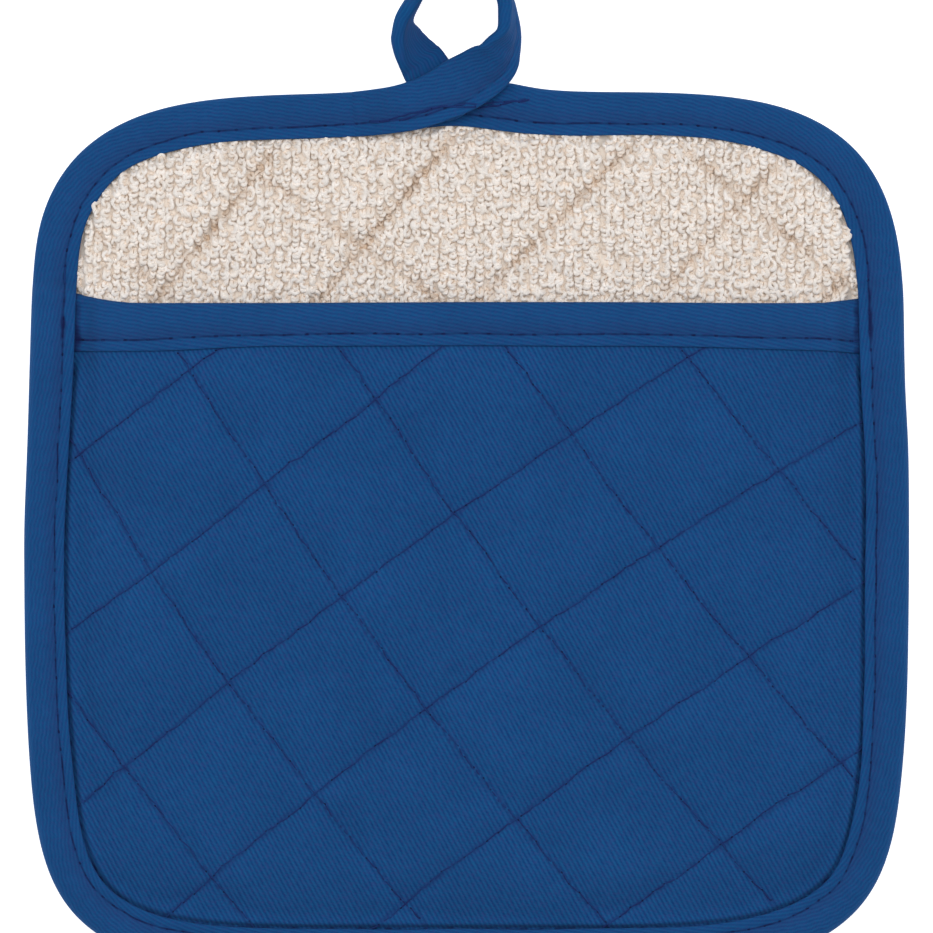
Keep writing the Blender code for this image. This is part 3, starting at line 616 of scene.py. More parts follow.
def strip_section(lower, upper, height, cloth, fold, bulge=0.0, wander=0.0, pull=0.0, under=1.0):
    """The points of one section, inwards and upwards, and for each point how far along the cloth
    it lies, whether it is in the channel, and how much painted highlight or painted shade it takes."""
    turn = min(0.4 * height, ROUNDEST_TURN)
    if bulge > 0:
        turn = max(turn, 1.0 * MM + 0.8 * bulge)
    half_lip = cloth / 2
    apart = (LIP_POINTS - LIP_POINTS[CHANNEL_POINT]) / MM
    # the channel, and the low crown in which the cloth stands between it and the fold
    deep = 0.6 * hump(apart, 0, 0.6) + 0.4 * hump(apart, 0, 1.3) - 1.1 * hump(apart, 3.6, 1.7)

    def leg(width):
        """Distances from the inner edge, and how deep the channel is at each."""
        flat = width - half_lip - turn
        squeeze = max(flat, 0.1 * MM) / WHOLE_LEG if flat < WHOLE_LEG else 1.0
        firm = min(1.0, max(0.0, (width - 7.0 * MM) / (2.0 * MM)))
        return half_lip + (LIP_POINTS + wander) * squeeze, deep * firm

    def tip(width, z, angles):
        """The rounded inner edge of a leg."""
        corner = width - half_lip
        return [(corner + half_lip * math.cos(a), z + half_lip * math.sin(a)) for a in np.radians(angles)]

    low_places, low_deep = leg(lower)
    up_places, up_deep = leg(upper)
    low_deep = np.maximum(low_deep, 0) * under
    sink = CHANNEL_DEPTH + pull
    most = math.radians(90 + 30 * min(1.0, bulge / (1.1 * MM)))
    around = np.linspace(-most, most, FOLD_POINTS)
    reach = turn / (1 + math.sin(most - math.pi / 2))
    rise = (height + bulge) / 2
    # the lower lip, from its tip, then the lower leg, the fold, the upper leg and the upper lip
    outside = tip(lower, half_lip, (0, -35, -70))
    outside += [(lower - d, sink * k) for d, k in zip(low_places, low_deep)]
    outside += [(reach - reach * math.cos(a), height / 2 + rise * math.sin(a)) for a in around]
    outside += [(upper - d, height - sink * k) for d, k in zip(up_places[::-1], up_deep[::-1])]
    outside += tip(upper, height - half_lip, (70, 35, 0))
    # and back along the slot that holds the pad
    low_end, up_end = lower - half_lip, upper - half_lip
    slot = height - 2 * cloth
    inside = [(up_end + (fold - up_end) * k, height - cloth) for k in (0, 0.3, 0.6, 0.96)]
    inside += [(fold, cloth + k * slot) for k in (0.78, 0.5, 0.22)]
    inside += [(low_end + (fold - low_end) * k, cloth) for k in (0.96, 0.6, 0.3, 0)]
    points = np.array(outside + inside)
    # the weave is measured from the upper inner edge outwards
    lengths = run_along(np.vstack([points, points[:1]]))
    lengths = lengths[len(outside) - 1] - lengths
    channel = np.zeros(len(points))
    channel[[LOWER_CHANNEL, UPPER_CHANNEL]] = under, 1.0
    # painted highlight: a little on the lips and 2 on the round fold; painted shade from -1 beside the
    # channel to 0 before the fold
    away = apart / apart[-1]
    on_leg = np.where(away < 0, LIP_HIGHLIGHT, away - 1)
    on_leg[CHANNEL_POINT] = 0.0
    on_tip = np.full(3, LIP_HIGHLIGHT)
    on_fold = 2.0 * np.sin(np.linspace(0, math.pi, FOLD_POINTS))
    highlight_and_shade = [under * on_tip, under * on_leg, on_fold, on_leg[::-1], on_tip, np.zeros(len(inside))]
    return points, lengths, channel, np.concatenate(highlight_and_shade)


def in_place(flat, origin, inward, up, channel_shade_share=1.0):
    """A section set up in space, with the painted shade of its channel in full or less."""
    points, lengths, channel, highlight_and_shade = flat
    return origin + points[:, :1] * inward + points[:, 1:] * up, lengths, channel * channel_shade_share, highlight_and_shade


section = strip_section(EDGE_WIDTH, EDGE_WIDTH, EDGE_HEIGHT, EDGE_CLOTH, EDGE_FOLD)[0]
print("a section has", len(section), "points")


# %% Join sections into a strip
def whole_numbers(collection, field):
    numbers = np.empty(len(collection), int)
    collection.foreach_get(field, numbers)
    return numbers


def strip_mesh(name, sections, along):
    """sections holds (places, lengths, channel, pressed) with places in space already."""
    places, across, channel, highlight_and_shade = (np.array([s[k] for s in sections]) for k in range(4))
    rows, count = places.shape[:2]
    index = np.arange(rows * count).reshape(rows, count)
    following = np.roll(index, -1, axis=1)
    quads = np.stack([index[:-1], following[:-1], following[1:], index[1:]], axis=-1).reshape(-1, 4)
    caps = [index[0][::-1].tolist(), index[-1].tolist()]
    strip = mesh_piece(name, places.reshape(-1, 3), quads.tolist() + caps)
    store(strip, "channel", channel)
    store(strip, "highlight_and_shade", highlight_and_shade)
    # where the section closes on itself, the map goes on to the full length instead of back to 0
    corner = whole_numbers(strip.data.loops, "vertex_index")
    row_of, column_of = corner // count, corner % count
    face_size = whole_numbers(strip.data.polygons, "loop_total")
    face_of = np.repeat(np.arange(len(face_size)), face_size)
    last_column = np.zeros(len(face_size), bool)
    np.logical_or.at(last_column, face_of, column_of == count - 1)
    wraps = last_column[face_of] & (column_of == 0) & (face_of < len(quads))
    v = across[row_of, np.where(wraps, count, column_of)]
    laid_out = np.stack([np.asarray(along)[row_of], v], axis=1)
    uv = strip.data.uv_layers.new(name="along_across")
    uv.data.foreach_set("uv", laid_out.astype(np.float32).ravel())
    return strip


def smooth_curve(a, b, c, d, t):
    """A smooth curve from b to c, with a before and d after them, and its slope."""
    square, cube = 2 * a - 5 * b + 4 * c - d, 3 * b - a - 3 * c + d
    value = 0.5 * (2 * b + (c - a) * t + square * t**2 + cube * t**3)
    return value, 0.5 * ((c - a) + 2 * square * t + 3 * cube * t**2)


def wavering(along, wavelength, size, seed):
    """A smooth random wander along a strip."""
    knots = np.arange(min(along) - 2 * wavelength, max(along) + 2 * wavelength, wavelength)
    values = np.random.default_rng(seed).uniform(-1, 1, len(knots))
    k = np.clip(np.searchsorted(knots, along) - 1, 1, len(knots) - 3)
    t = (along - knots[k]) / wavelength
    return size * smooth_curve(values[k - 1], values[k], values[k + 1], values[k + 2], t)[0]


# %% The strip's way round the outline
EDGE_STITCH = 4.15 * MM
STATION = 1.0 * MM
RING_END = PERIMETER - 27.4 * MM
# length from the top centre, height and width of the upper leg where the strip starts, in mm
START_ROWS = MM * np.array([
    (-26.45, 1.8, 1.4), (-25.2, 1.8, 1.4), (-23.0, 2.6, 2.4), (-20.9, 3.9, 4.5),
    (-19.0, 4.2, 6.0), (-11.0, 4.2, 7.0), (-10.2, 4.2, 9.9),
])


def bound_height(y):
    over_mouth = smoothstep(MOUTH_Y + 7.0 * MM, MOUTH_Y + 2.0 * MM, y)
    past_mouth = smoothstep(MOUTH_Y - 14.0 * MM, MOUTH_Y - 20.0 * MM, y)
    height = EDGE_HEIGHT + (EDGE_HEIGHT_MOUTH - EDGE_HEIGHT) * over_mouth
    return height + (EDGE_HEIGHT_POCKET - EDGE_HEIGHT_MOUTH) * past_mouth


starts = np.arange(START_ROWS[0, 0], START_ROWS[-1, 0], 0.8 * MM)
ring = np.arange(START_ROWS[-1, 0], RING_END, STATION)
ring_runs = np.r_[starts, ring, RING_END, RING_END + 0.9 * MM]
ring_point, ring_inward = outline_at(ring_runs)
at_start = ring_runs < START_ROWS[-1, 0]
start_height, start_width = read_off(ring_runs, START_ROWS[:, 0], START_ROWS[:, 1:]).T
ring_height = np.where(at_start, start_height, bound_height(ring_point[:, 1]))
ring_upper = np.where(at_start, start_width, EDGE_WIDTH)
spread = spread_at(ring_point)
across_top = np.where(ring_point[:, 1] > MIDDLE[1] + 70 * MM, ring_point[:, 0] / MM, 90)
ring_outset = 0.55 * MM * hump(across_top, 9.0, 6.0)
ring_upper = ring_upper + (spread + ring_outset) * (ring_upper > 5 * MM)
ring_lower = np.full(len(ring_runs), EDGE_WIDTH)
ring_lower[-1] = 1.4 * MM
print(len(ring_runs), "stations round the body")

# %% The strip's free end, which makes the loop
# middle of the strip from the body's top centre, and its roll (0 flat, 90 on edge), in mm and degrees
TAIL_PATH = [
    (-25.7, -4.75, 3.2, 0), (-20.9, -4.4, 5.5, 0), (-16.1, -3.9, 7.9, 0), (-11.7, -3.0, 8.3, 0),
    (-6.9, -1.2, 8.3, 0), (-1.7, 1.4, 8.3, 0), (2.75, 4.0, 8.4, 10), (6.4, 6.8, 8.5, 32),
    (8.3, 9.8, 7.8, 50), (9.9, 13.5, 6.9, 70), (9.9, 17.6, 6.7, 78), (9.2, 21.6, 6.6, 83),
    (6.7, 25.1, 6.5, 86), (2.8, 27.0, 6.5, 88), (-2.0, 27.6, 6.5, 90), (-6.2, 26.9, 6.5, 91),
    (-9.3, 24.5, 6.5, 92), (-11.7, 20.9, 6.5, 94), (-13.8, 16.8, 6.5, 99), (-13.5, 13.3, 6.4, 117),
    (-12.5, 10.6, 6.1, 128), (-11.1, 8.2, 5.6, 141), (-9.6, 6.0, 5.1, 160), (-6.5, 1.0, 5.45, 180),
]
# how wide and thick it is there, and how wide its lower leg is, in mm
TAIL_WIDTH = [10.4, 10.6, 10.8, 11.3, 11.8, 12.9, 12.6, 12.5, 12.5] + 12 * [12.4] + [12.1, 11.4, 11.4]
TAIL_THICK = [2.4, 2.1] + 22 * [1.9]
TAIL_LOWER = [1.4, 1.4, 1.4, 5.0, 11.8, 12.7, 12.5] + 14 * [12.4] + [12.1, 11.4, 11.4]
TAIL_ROWS = np.c_[TAIL_PATH, TAIL_WIDTH, TAIL_THICK, TAIL_LOWER]
TAIL_STEPS = 6
TAIL_BULGE = 1.6 * MM


def smooth_rows(rows, steps):
    """Rows on a smooth curve through the given ones, their slopes, and their places."""
    ends = np.vstack([2 * rows[0] - rows[1], rows, 2 * rows[-1] - rows[-2]])
    place = np.linspace(0, len(rows) - 1, (len(rows) - 1) * steps + 1)
    k = np.minimum(place.astype(int), len(rows) - 2)
    value, slope = smooth_curve(ends[k], ends[k + 1], ends[k + 2], ends[k + 3], (place - k)[:, None])
    return value, slope, place


tail, tail_slope, tail_place = smooth_rows(TAIL_ROWS, TAIL_STEPS)
tail_middle = np.array([0, TOP_Y, 0]) + tail[:, :3] * MM
# it leaves the outline exactly where the last station round the body ends
last_edge = ring_point[-1] + ring_inward[-1] * tail[0, 4] * MM / 2
joining = (1 - smoothstep(0.0, 3.0, tail_place))[:, None]
travel = tail_slope[0, :2] / np.linalg.norm(tail_slope[0, :2])
sideways = np.array([-travel[1], travel[0]])
tail_middle[:, :2] += joining * ((last_edge - tail_middle[0, :2]) @ sideways) * sideways
print(len(tail), "stations in the free end")

# %% Sew the edge strip together
last_length = ring_runs[-1] + np.linalg.norm(tail_middle[0, :2] - ring_point[-1]) * 0.3
tail_along = last_length + run_along(tail_middle)
edge_along = np.r_[ring_runs, tail_along]
edge_wander = wavering(edge_along, 9 * MM, 0.22 * MM, 3) + wavering(edge_along, 3.1 * MM, 0.1 * MM, 4)
edge_uneven = wavering(edge_along, 14 * MM, 0.16 * MM, 5)
edge_swell = wavering(edge_along, 17 * MM, 0.12 * MM, 6)
edge_pull = 0.14 * MM * np.cos(2 * math.pi * edge_along / EDGE_STITCH)

UPWARD = np.array([0, 0, 1.0])

edge_sections, edge_faces = [], []
for i, inward in enumerate(np.c_[ring_inward, np.zeros(len(ring_runs))]):
    whole = ring_upper[i] > 5 * MM
    widths = ring_lower[i], ring_upper[i] + edge_uneven[i] * whole
    height = ring_height[i] + edge_swell[i] * whole
    flat = strip_section(*widths, height, EDGE_CLOTH, EDGE_FOLD, 0, edge_wander[i], edge_pull[i])
    origin = np.array([*ring_point[i], 0.0]) - ring_outset[i] * inward
    edge_sections.append(in_place(flat, origin, inward, UPWARD))
    edge_faces.append(UPWARD)

for i, place in enumerate(tail_place):
    j = len(ring_runs) + i
    travel = tail_slope[i, :2] / np.linalg.norm(tail_slope[i, :2])
    left = np.array([-travel[1], travel[0], 0.0])
    roll = math.radians(tail[i, 3])
    fold_way = math.cos(roll) * left + math.sin(roll) * UPWARD
    up = math.cos(roll) * UPWARD - math.sin(roll) * left
    width, thick, lower = tail[i, 4:] * MM
    bulge = TAIL_BULGE * float(smoothstep(6.5, 11, place) * (1 - smoothstep(19, 22, place)))
    sizes = max(lower, 1.4 * MM), width, thick, EDGE_CLOTH, EDGE_FOLD, bulge
    flat = strip_section(*sizes, edge_wander[j], edge_pull[j], under=0.0)
    origin = tail_middle[i] + fold_way * width / 2 - up * thick / 2
    # past the crossing the seam holds one layer less, so its channel takes less painted shade
    channel_shade_share = 1 - 0.55 * float(smoothstep(3.5, 5.5, place))
    edge_sections.append(in_place(flat, origin, -fold_way, up, channel_shade_share))
    edge_faces.append(up)

# beside the mouth strip the edge strip's channel and the cloth on either side of it take painted shade, a
# dark band
beside = hump(ring_point[:, 1], MOUTH_Y - 4 * MM, 8 * MM)
edge_seam_shade = np.zeros((len(edge_along), len(section)))
edge_seam_shade[: len(ring_runs), UPPER_CHANNEL - 1 : UPPER_CHANNEL + 2] = np.outer(beside, (1.0, 1.15, 0.7))

# the ribs run along the loop's left limb, where the strip is turned over and bunched up
weave_steps = np.diff(edge_along, prepend=edge_along[0])
weave_steps[len(ring_runs) :] *= 1 - 0.8 * smoothstep(14, 17, tail_place)
edge_strip = strip_mesh("edge_strip", edge_sections, edge_along[0] + np.cumsum(weave_steps))
store(edge_strip, "tuck_shade", edge_seam_shade)
print("edge strip", round(1000 * (edge_along[-1] - edge_along[0])), "mm long")

# %% Sew the strip over the mouth
MOUTH_STITCH = 5.2 * MM


def strip_end(way, y):
    """Where the mouth strip ends inside the edge strip's fold, on the left (-1) or the right (1)."""
    side = OUTLINE[OUTLINE[:, 0] * way > 0]
    side = side[np.argsort(side[:, 1])]
    return np.interp(y, side[:, 1], side[:, 0]) - way * (PAD_INSET + 0.3 * MM)


mouth_xs = np.linspace(strip_end(-1, MOUTH_Y + 3 * MM), strip_end(1, MOUTH_Y + 2 * MM), 190)
# X, how far its fold rises there above the mouth, and how far its lip lies below, in mm
MOUTH_TABLE = np.array([
    (-102, 3.0, 11.1), (-92, 2.7, 11.0), (-89, 2.3, 11.0), (-87, 1.6, 11.0), (-84, 1.0, 11.0),
    (-81, 0.5, 11.0), (-77, 0.1, 11.0), (-72, 0.0, 11.0), (-65, 0.0, 10.8), (-55, 0.0, 10.3),
    (-45, 0.0, 9.9), (0, 0.2, 9.8), (33, 0.2, 9.9), (60, 0.0, 10.3), (74, 0.0, 10.7),
    (82, 0.1, 10.9), (86, 0.6, 11.2), (90, 1.1, 11.5), (102, 1.8, 11.8),
])
mouth_rise, mouth_drop = read_off(mouth_xs / MM, MOUTH_TABLE[:, 0], MOUTH_TABLE[:, 1:]).T * MM
mouth_line = MOUTH_Y + mouth_rise
mouth_widths = mouth_rise + mouth_drop
near_fold = np.c_[mouth_xs, mouth_line - MOUTH_FOLD - GAP]
near_lip = np.c_[mouth_xs, mouth_line - mouth_widths]
low_fold, high_fold, _ = pocket_faces(near_fold)
low_lip = pocket_faces(near_lip)[0]
mouth_wander = wavering(mouth_xs, 11 * MM, 0.16 * MM, 13)
mouth_uneven = wavering(mouth_xs, 16 * MM, 0.1 * MM, 14)
mouth_pull = 0.1 * MM * np.cos(2 * math.pi * mouth_xs / MOUTH_STITCH)

mouth_sections = []
for i, x in enumerate(mouth_xs):
    bottom = low_fold[i] - MOUTH_LIFT
    height = high_fold[i] + MOUTH_LIFT - bottom
    width = mouth_widths[i]
    sizes = width, width + mouth_uneven[i], height, MOUTH_CLOTH, MOUTH_FOLD, 0
    flat = strip_section(*sizes, mouth_wander[i], mouth_pull[i])
    inward = np.array([0, -1.0, (low_lip[i] - low_fold[i]) / width])
    mouth_sections.append(in_place(flat, np.array([x, mouth_line[i], bottom]), inward, UPWARD))
mouth_strip = strip_mesh("mouth_strip", mouth_sections, mouth_xs)
# painted shade where the mouth strip's ends run under the edge strip's lip
tucked_in = distance_inside(np.c_[mouth_xs, mouth_line - 5 * MM])
tucked_in = np.clip(1.3 - (tucked_in - LIP) / (1.5 * MM), 0, 1)
store(mouth_strip, "tuck_shade", np.repeat(tucked_in, len(section)))

# %% [markdown]
# ## The twill
#
# Twill shows fine slanted ribs, just under a millimetre apart. They are a wave pattern across
# the cloth, a little lighter on each rib and more violet in the gaps, with a second, finer wave
# along the rib for the single threads. The darker gaps are partly the weave's own colour and
# partly painted shade. The pocket's ribs read Object coordinates, because that cloth lies flat.
# The strips' ribs read their own map, because they turn with the strip.

# %% Twill material
RIB_SPACING = 0.98 * MM
TWILL_RELIEF = 0.12 * MM
STRIP_RELIEF = 0.1 * MM
# rib colours: the gap colour holds painted shade as well as the weave's own colour
RIB_LIGHT = linear(26, 89, 142)
RIB_GAP_SHADED = linear(18, 59, 117)
FLECK = linear(50, 66, 128)
# painted shade for crevices, stitch channels and needle holes
CREVICE_SHADE = linear(22, 25, 70)
# painted highlight on the strips' folds and lips, and painted shade beside their channels
FOLD_HIGHLIGHT_BLUE = linear(14, 84, 143)
SEAM_SIDE_SHADE = linear(44, 56, 107)
# painted shade in the valley beside each quilting seam
SEAM_VALLEY_SHADE = linear(29, 51, 104)


def twill(name, map_output, rib_angle, rib_spacing, contrast=1.0, sway=0.8):
    """rib_angle is the ribs' direction in the map, in degrees. Gives the material and its parts."""
    material, shader = new_material(name, 0.85, sheen=0.02)
    cloth_map = coordinates(map_output)
    turn = (0, 0, math.radians(-rib_angle - 90))
    turned = add("ShaderNodeMapping", {"Vector": cloth_map, "Rotation": turn})
    wave_scale = 2 * math.pi / (20 * rib_spacing)
    wave = {"Vector": turned, "Scale": wave_scale, "Distortion": sway, "Detail": 2.0, "Detail Scale": 2.0}
    ribs = add("ShaderNodeTexWave", wave, "Fac", bands_direction="X")
    wave = {"Vector": turned, "Scale": wave_scale * 1.9, "Distortion": 2.0, "Detail": 1.0}
    threads = add("ShaderNodeTexWave", wave, "Fac", bands_direction="DIAGONAL")
    drawn_out = add("ShaderNodeMapping", {"Vector": turned, "Scale": (1.0, 0.35, 1.0)})
    height = plus(plus(times(ribs, 0.66), times(threads, 0.14)), times(noise(drawn_out, 1500.0), 0.8))
    height = calculate("SUBTRACT", height, 0.3)
    share = between(height, 0.5 - 0.5 / contrast, 0.5 + 0.5 / contrast)
    # the gaps' darker colour is partly the weave's own and partly painted shade between the ribs
    colour = blend_colours(share, RIB_GAP_SHADED, RIB_LIGHT)
    flecks = between(noise(cloth_map, 1700.0, 1.0), 0.45, 0.72, 0.0, 0.5)
    colour = blend_colours(flecks, colour, FLECK)
    worn = between(noise(cloth_map, 60.0, 3.0), 0.3, 0.7, 0.94, 1.06)
    return material, shader, shaded(colour, worn), height


# %% Pocket twill
pocket_twill, shader, colour, height = twill("pocket_twill", "Object", -61.5, RIB_SPACING)
# painted shade, ragged, in the crevice where the pocket runs under the edge strip's lip
ragged = between(noise(coordinates(), 420.0), 0.3, 0.7, -0.6, 0.15)
shadow = between(plus(attribute("tuck_shade"), ragged), 0.5, 1.0, 0.0, 0.8)
colour = blend_colours(shadow, colour, CREVICE_SHADE)
# painted shade in the valley along each quilting seam
seam_shade_mask = plus(attribute("seam"), times(ragged, 0.5))
colour = blend_colours(between(seam_shade_mask, 0.2, 1.0, 0.0, 0.6), colour, SEAM_VALLEY_SHADE)
finish_material(shader, colour, height, TWILL_RELIEF)
pocket_pad.data.materials.append(pocket_twill)

wall_points = len(pocket_pad.data.vertices) - 2 * len(pocket_plan)
all_inside = np.r_[pocket_inside, pocket_inside, np.zeros(wall_points)]
# mask for the painted shade at that crevice: 1 at the lip, 0 from 1.1 mm inside it
store(pocket_pad, "tuck_shade", 1 - np.clip((all_inside - LIP) / (1.1 * MM), 0, 1))
# mask for the painted shade in the valley along each quilting seam
seam_shade = hump(distance_to_quilting(pocket_plan, POCKET_QUILT), 0, 0.75 * MM)
store(pocket_pad, "seam", np.r_[seam_shade, seam_shade, np.zeros(wall_points)])
print("pocket twill laid")


# %% Strip twill
def strip_twill(name, rib_spacing, stitch, highlight_share):
    material, shader, colour, height = twill(name, "UV", -11.0, rib_spacing, 0.64, 0.3)
    # painted highlight on the round fold and the lips, painted shade beside the channel
    highlight_and_shade = attribute("highlight_and_shade")
    colour = blend_colours(between(highlight_and_shade, 0.0, 2.0, 0.0, 2 * highlight_share), colour, FOLD_HIGHLIGHT_BLUE)
    colour = blend_colours(between(highlight_and_shade, -1.0, -0.2, 0.3, 0.0), colour, SEAM_SIDE_SHADE)
    # the channel gets painted shade, darkest at each needle hole
    along = add("ShaderNodeSeparateXYZ", {"Vector": coordinates("UV")})
    nearest = calculate("FRACT", plus(calculate("DIVIDE", along, stitch), 0.5))
    apart = calculate("ABSOLUTE", calculate("SUBTRACT", nearest, 0.5))
    hole_shade = times(between(apart, 0.06, 0.17, 1.0, 0.0), 0.95)
    uneven = noise(coordinates(), 260.0)
    channel_shade = calculate("MAXIMUM", between(uneven, 0.35, 0.65, 0.3, 0.9), hole_shade)
    line = between(attribute("channel"), 0.15, 0.8)
    colour = blend_colours(times(line, channel_shade), colour, CREVICE_SHADE)
    # painted shade where one strip runs under another, and in the edge strip's channel beside the mouth
    tuck_shade_mask = plus(attribute("tuck_shade"), between(uneven, 0.3, 0.7, -0.4, 0.3))
    colour = blend_colours(between(tuck_shade_mask, 0.4, 1.0, 0.0, 0.75), colour, CREVICE_SHADE)
    finish_material(shader, colour, height, STRIP_RELIEF)
    return material


edge_strip.data.materials.append(strip_twill("edge_twill", 0.89 * MM, EDGE_STITCH, 0.15))
mouth_strip.data.materials.append(strip_twill("mouth_twill", 0.92 * MM, MOUTH_STITCH, 0.0))
print("strips covered")

# %% [markdown]
# ## The terry face
#
# Terry is a ground cloth with loops of soft yarn standing out of it. They stand in columns,
# which weavers call wales, and most of them lean down their column, so that one sees rows of
# small scales with bright rims and beige gaps. A texture can't give the loops their shadows, so
# each one is a real bent tube. Geometry Nodes lay a slightly scattered lattice over the pad, drop
# it on the ground cloth, and set one of five curls on each point. Only the part that shows, and
# two fingers' width inside the mouth, has loops.

# %% Terry ground and underside
terry_ground, shader = new_material("terry_ground", 0.95, sheen=0.2)
knots = add("ShaderNodeTexVoronoi", {"Vector": coordinates(), "Scale": 620.0}, "Distance")
speckle = noise(coordinates(), 300.0, 3.0)
colour = blend_colours(speckle, linear(238, 226, 214), linear(246, 236, 226))
finish_material(shader, colour, knots, 0.7 * MM)

under_twill, shader, colour, height = twill("underside_twill", "Object", 61.5, RIB_SPACING)
finish_material(shader, colour, height, TWILL_RELIEF)

back_pad.data.materials.append(terry_ground)
back_pad.data.materials.append(under_twill)
slots = np.ones(len(back_pad.data.polygons), dtype=np.int32)
slots[:top_faces] = 0
back_pad.data.polygons.foreach_set("material_index", slots)
print(top_faces, "faces of terry ground")

# %% Yarn material
WARM = (1.0, 0.78, 0.6, 1.0)
YARN_GLOW = 0.035

terry_yarn, shader = new_material("terry_yarn", 0.95, sheen=0.05)
# painted shade: each curl darker and browner towards its foot, low in the pile
colour = blend_colours(between(attribute("rise"), 0.1, 0.9), linear(240, 227, 214), linear(249, 243, 238))
colour = blend_colours(between(attribute("tone"), 0.3, 1.0, 0.0, 0.5), colour, linear(241, 230, 219))
# painted shade in the creases that the quilting pulls into the terry
colour = blend_colours(between(attribute("crease"), 0.2, 0.9, 0.0, 0.9), colour, linear(196, 166, 136))
# a random mottle, painted shade for the shadows between tufts
colour = shaded(colour, between(noise(coordinates(), 360.0, 1.0), 0.3, 0.7, 0.92, 1.04))
finish_material(shader, colour, noise(coordinates(), 3500.0), 0.08 * MM)
# the yarn glows a little, warm: painted light that lifts the shade between the curls
glow(shader, WARM, YARN_GLOW)
print("yarn ready")


# %% A tree with named inputs
def new_tree(name, inputs):
    """A Geometry Nodes tree, which goes on the bench, and what its inputs give."""
    tree = bpy.data.node_groups.new(name, "GeometryNodeTree")
    tree.interface.new_socket("Geometry", in_out="INPUT", socket_type="NodeSocketGeometry")
    for label, value in inputs.items():
        kind = "NodeSocketInt" if isinstance(value, int) else "NodeSocketFloat"
        tree.interface.new_socket(label, in_out="INPUT", socket_type=kind).default_value = value
    tree.interface.new_socket("Geometry", in_out="OUTPUT", socket_type="NodeSocketGeometry")
    bench["tree"] = tree
    bench["given"] = tree.nodes.new("NodeGroupInput").outputs
    return tree, bench["given"]


def end_tree(geometry, material):
    """Makes real meshes of the instances, smooth and in their material."""
    geometry = add("GeometryNodeRealizeInstances", {"Geometry": geometry})
    geometry = add("GeometryNodeSetShadeSmooth", {"Geometry": geometry})
    geometry = add("GeometryNodeSetMaterial", {"Geometry": geometry, "Material": material})
    tree = bench["tree"]
    tree.links.new(geometry, tree.nodes.new("NodeGroupOutput").inputs[0])
    print(tree.name, "tree has", len(tree.nodes), "nodes")


def grow(base, tree, name, sizes):
    """Runs a tree on a base mesh and keeps its result as a plain mesh piece."""
    modifier = base.modifiers.new("grow", "NODES")
    modifier.node_group = tree
    for item in tree.interface.items_tree:
        if item.item_type == "SOCKET" and item.in_out == "INPUT" and item.name in sizes:
            modifier[item.identifier] = sizes[item.name]
    graph = bpy.context.evaluated_depsgraph_get()
    mesh = bpy.data.meshes.new_from_object(
        base.evaluated_get(graph), preserve_all_data_layers=True, depsgraph=graph
    )
    mesh.name = name
    piece = bpy.data.objects.new(name, mesh)
    bpy.context.scene.collection.objects.link(piece)
    bpy.data.objects.remove(base, do_unlink=True)
    mesh.calc_loop_triangles()
    print(name, len(mesh.loop_triangles), "triangles")
    return piece


# %% Helpers for both trees
def vector(x=0.0, y=0.0, z=0.0):
    return add("ShaderNodeCombineXYZ", {0: x, 1: y, 2: z})


def draw_seed(draw):
    """Every draw adds its own number to the tree's seed."""
    return plus(bench["given"]["Seed"], draw)


def random_number(low, high, draw):
    inputs = {2: low, 3: high, "Seed": draw_seed(draw)}
    return add("FunctionNodeRandomValue", inputs, 1, data_type="FLOAT")


def store_on(geometry, name, value, kind="FLOAT", domain="POINT"):
    inputs = {"Geometry": geometry, "Name": name, "Value": value}
    return add("GeometryNodeStoreNamedAttribute", inputs, data_type=kind, domain=domain)


def stored(name, kind="FLOAT"):
    return add("GeometryNodeInputNamedAttribute", {"Name": name}, "Attribute", data_type=kind)


def turn_about(axis, angle):
    return add("FunctionNodeAxisAngleToRotation", {"Axis": axis, "Angle": angle})


def turned_by(first, second):
    inputs = {"Rotation": first, "Rotate By": second}
    return add("FunctionNodeRotateRotation", inputs, rotation_space="LOCAL")


def round_along(curve, thickness, caps=False):
    """A five-sided thread along a curve."""
    ring = {"Resolution": 5, "Radius": times(thickness, 0.5)}
    ring = add("GeometryNodeCurvePrimitiveCircle", ring, mode="RADIUS")
    return add("GeometryNodeCurveToMesh", {"Curve": curve, "Profile Curve": ring, "Fill Caps": caps})


def joined(parts):
    together = add("GeometryNodeJoinGeometry")
    for part in parts:
        bench["tree"].links.new(part, together.node.inputs[0])
    return together


# %% Scatter points on the terry's ground
pile_sizes = {
    "Width": 0.2,
    "Depth": 0.07,
    "Centre X": 0.0,
    "Centre Y": 0.0,
    "Wale Spacing": 0.00195,
    "Row Spacing": 0.00091,
    "Scatter Across": 0.00013,
    "Scatter Along": 0.00032,
    "Yarn Thickness": 0.00096,
    "Pile Height": 0.0012,
    "Seed": 7,
}
pile_tree, given = new_tree("terry pile", pile_sizes)
grid = {"Size X": given["Width"], "Size Y": given["Depth"]}
grid["Vertices X"] = calculate("DIVIDE", given["Width"], given["Wale Spacing"])
grid["Vertices Y"] = calculate("DIVIDE", given["Depth"], given["Row Spacing"])
lattice = add("GeometryNodeMeshGrid", grid)
scatter = vector(
    times(given["Scatter Across"], random_number(-1.0, 1.0, 1)),
    times(given["Scatter Along"], random_number(-1.0, 1.0, 2)),
)
centre = vector(given["Centre X"], given["Centre Y"], 0.05)
shift = add("ShaderNodeVectorMath", {0: scatter, 1: centre}, operation="ADD")
lattice = add("GeometryNodeSetPosition", {"Geometry": lattice, "Offset": shift})
seeds = add("GeometryNodeMeshToPoints", {"Mesh": lattice})

fall = {"Target Geometry": given["Geometry"], "Ray Direction": (0, 0, -1), "Ray Length": 0.1}
fall["Attribute"] = stored("crease")
drop = add("GeometryNodeRaycast", fall, data_type="FLOAT").node.outputs
seeds = store_on(seeds, "crease", drop["Attribute"])
missed = calculate("SUBTRACT", 1.0, drop["Is Hit"])
seeds = add("GeometryNodeDeleteGeometry", {"Geometry": seeds, "Selection": missed})
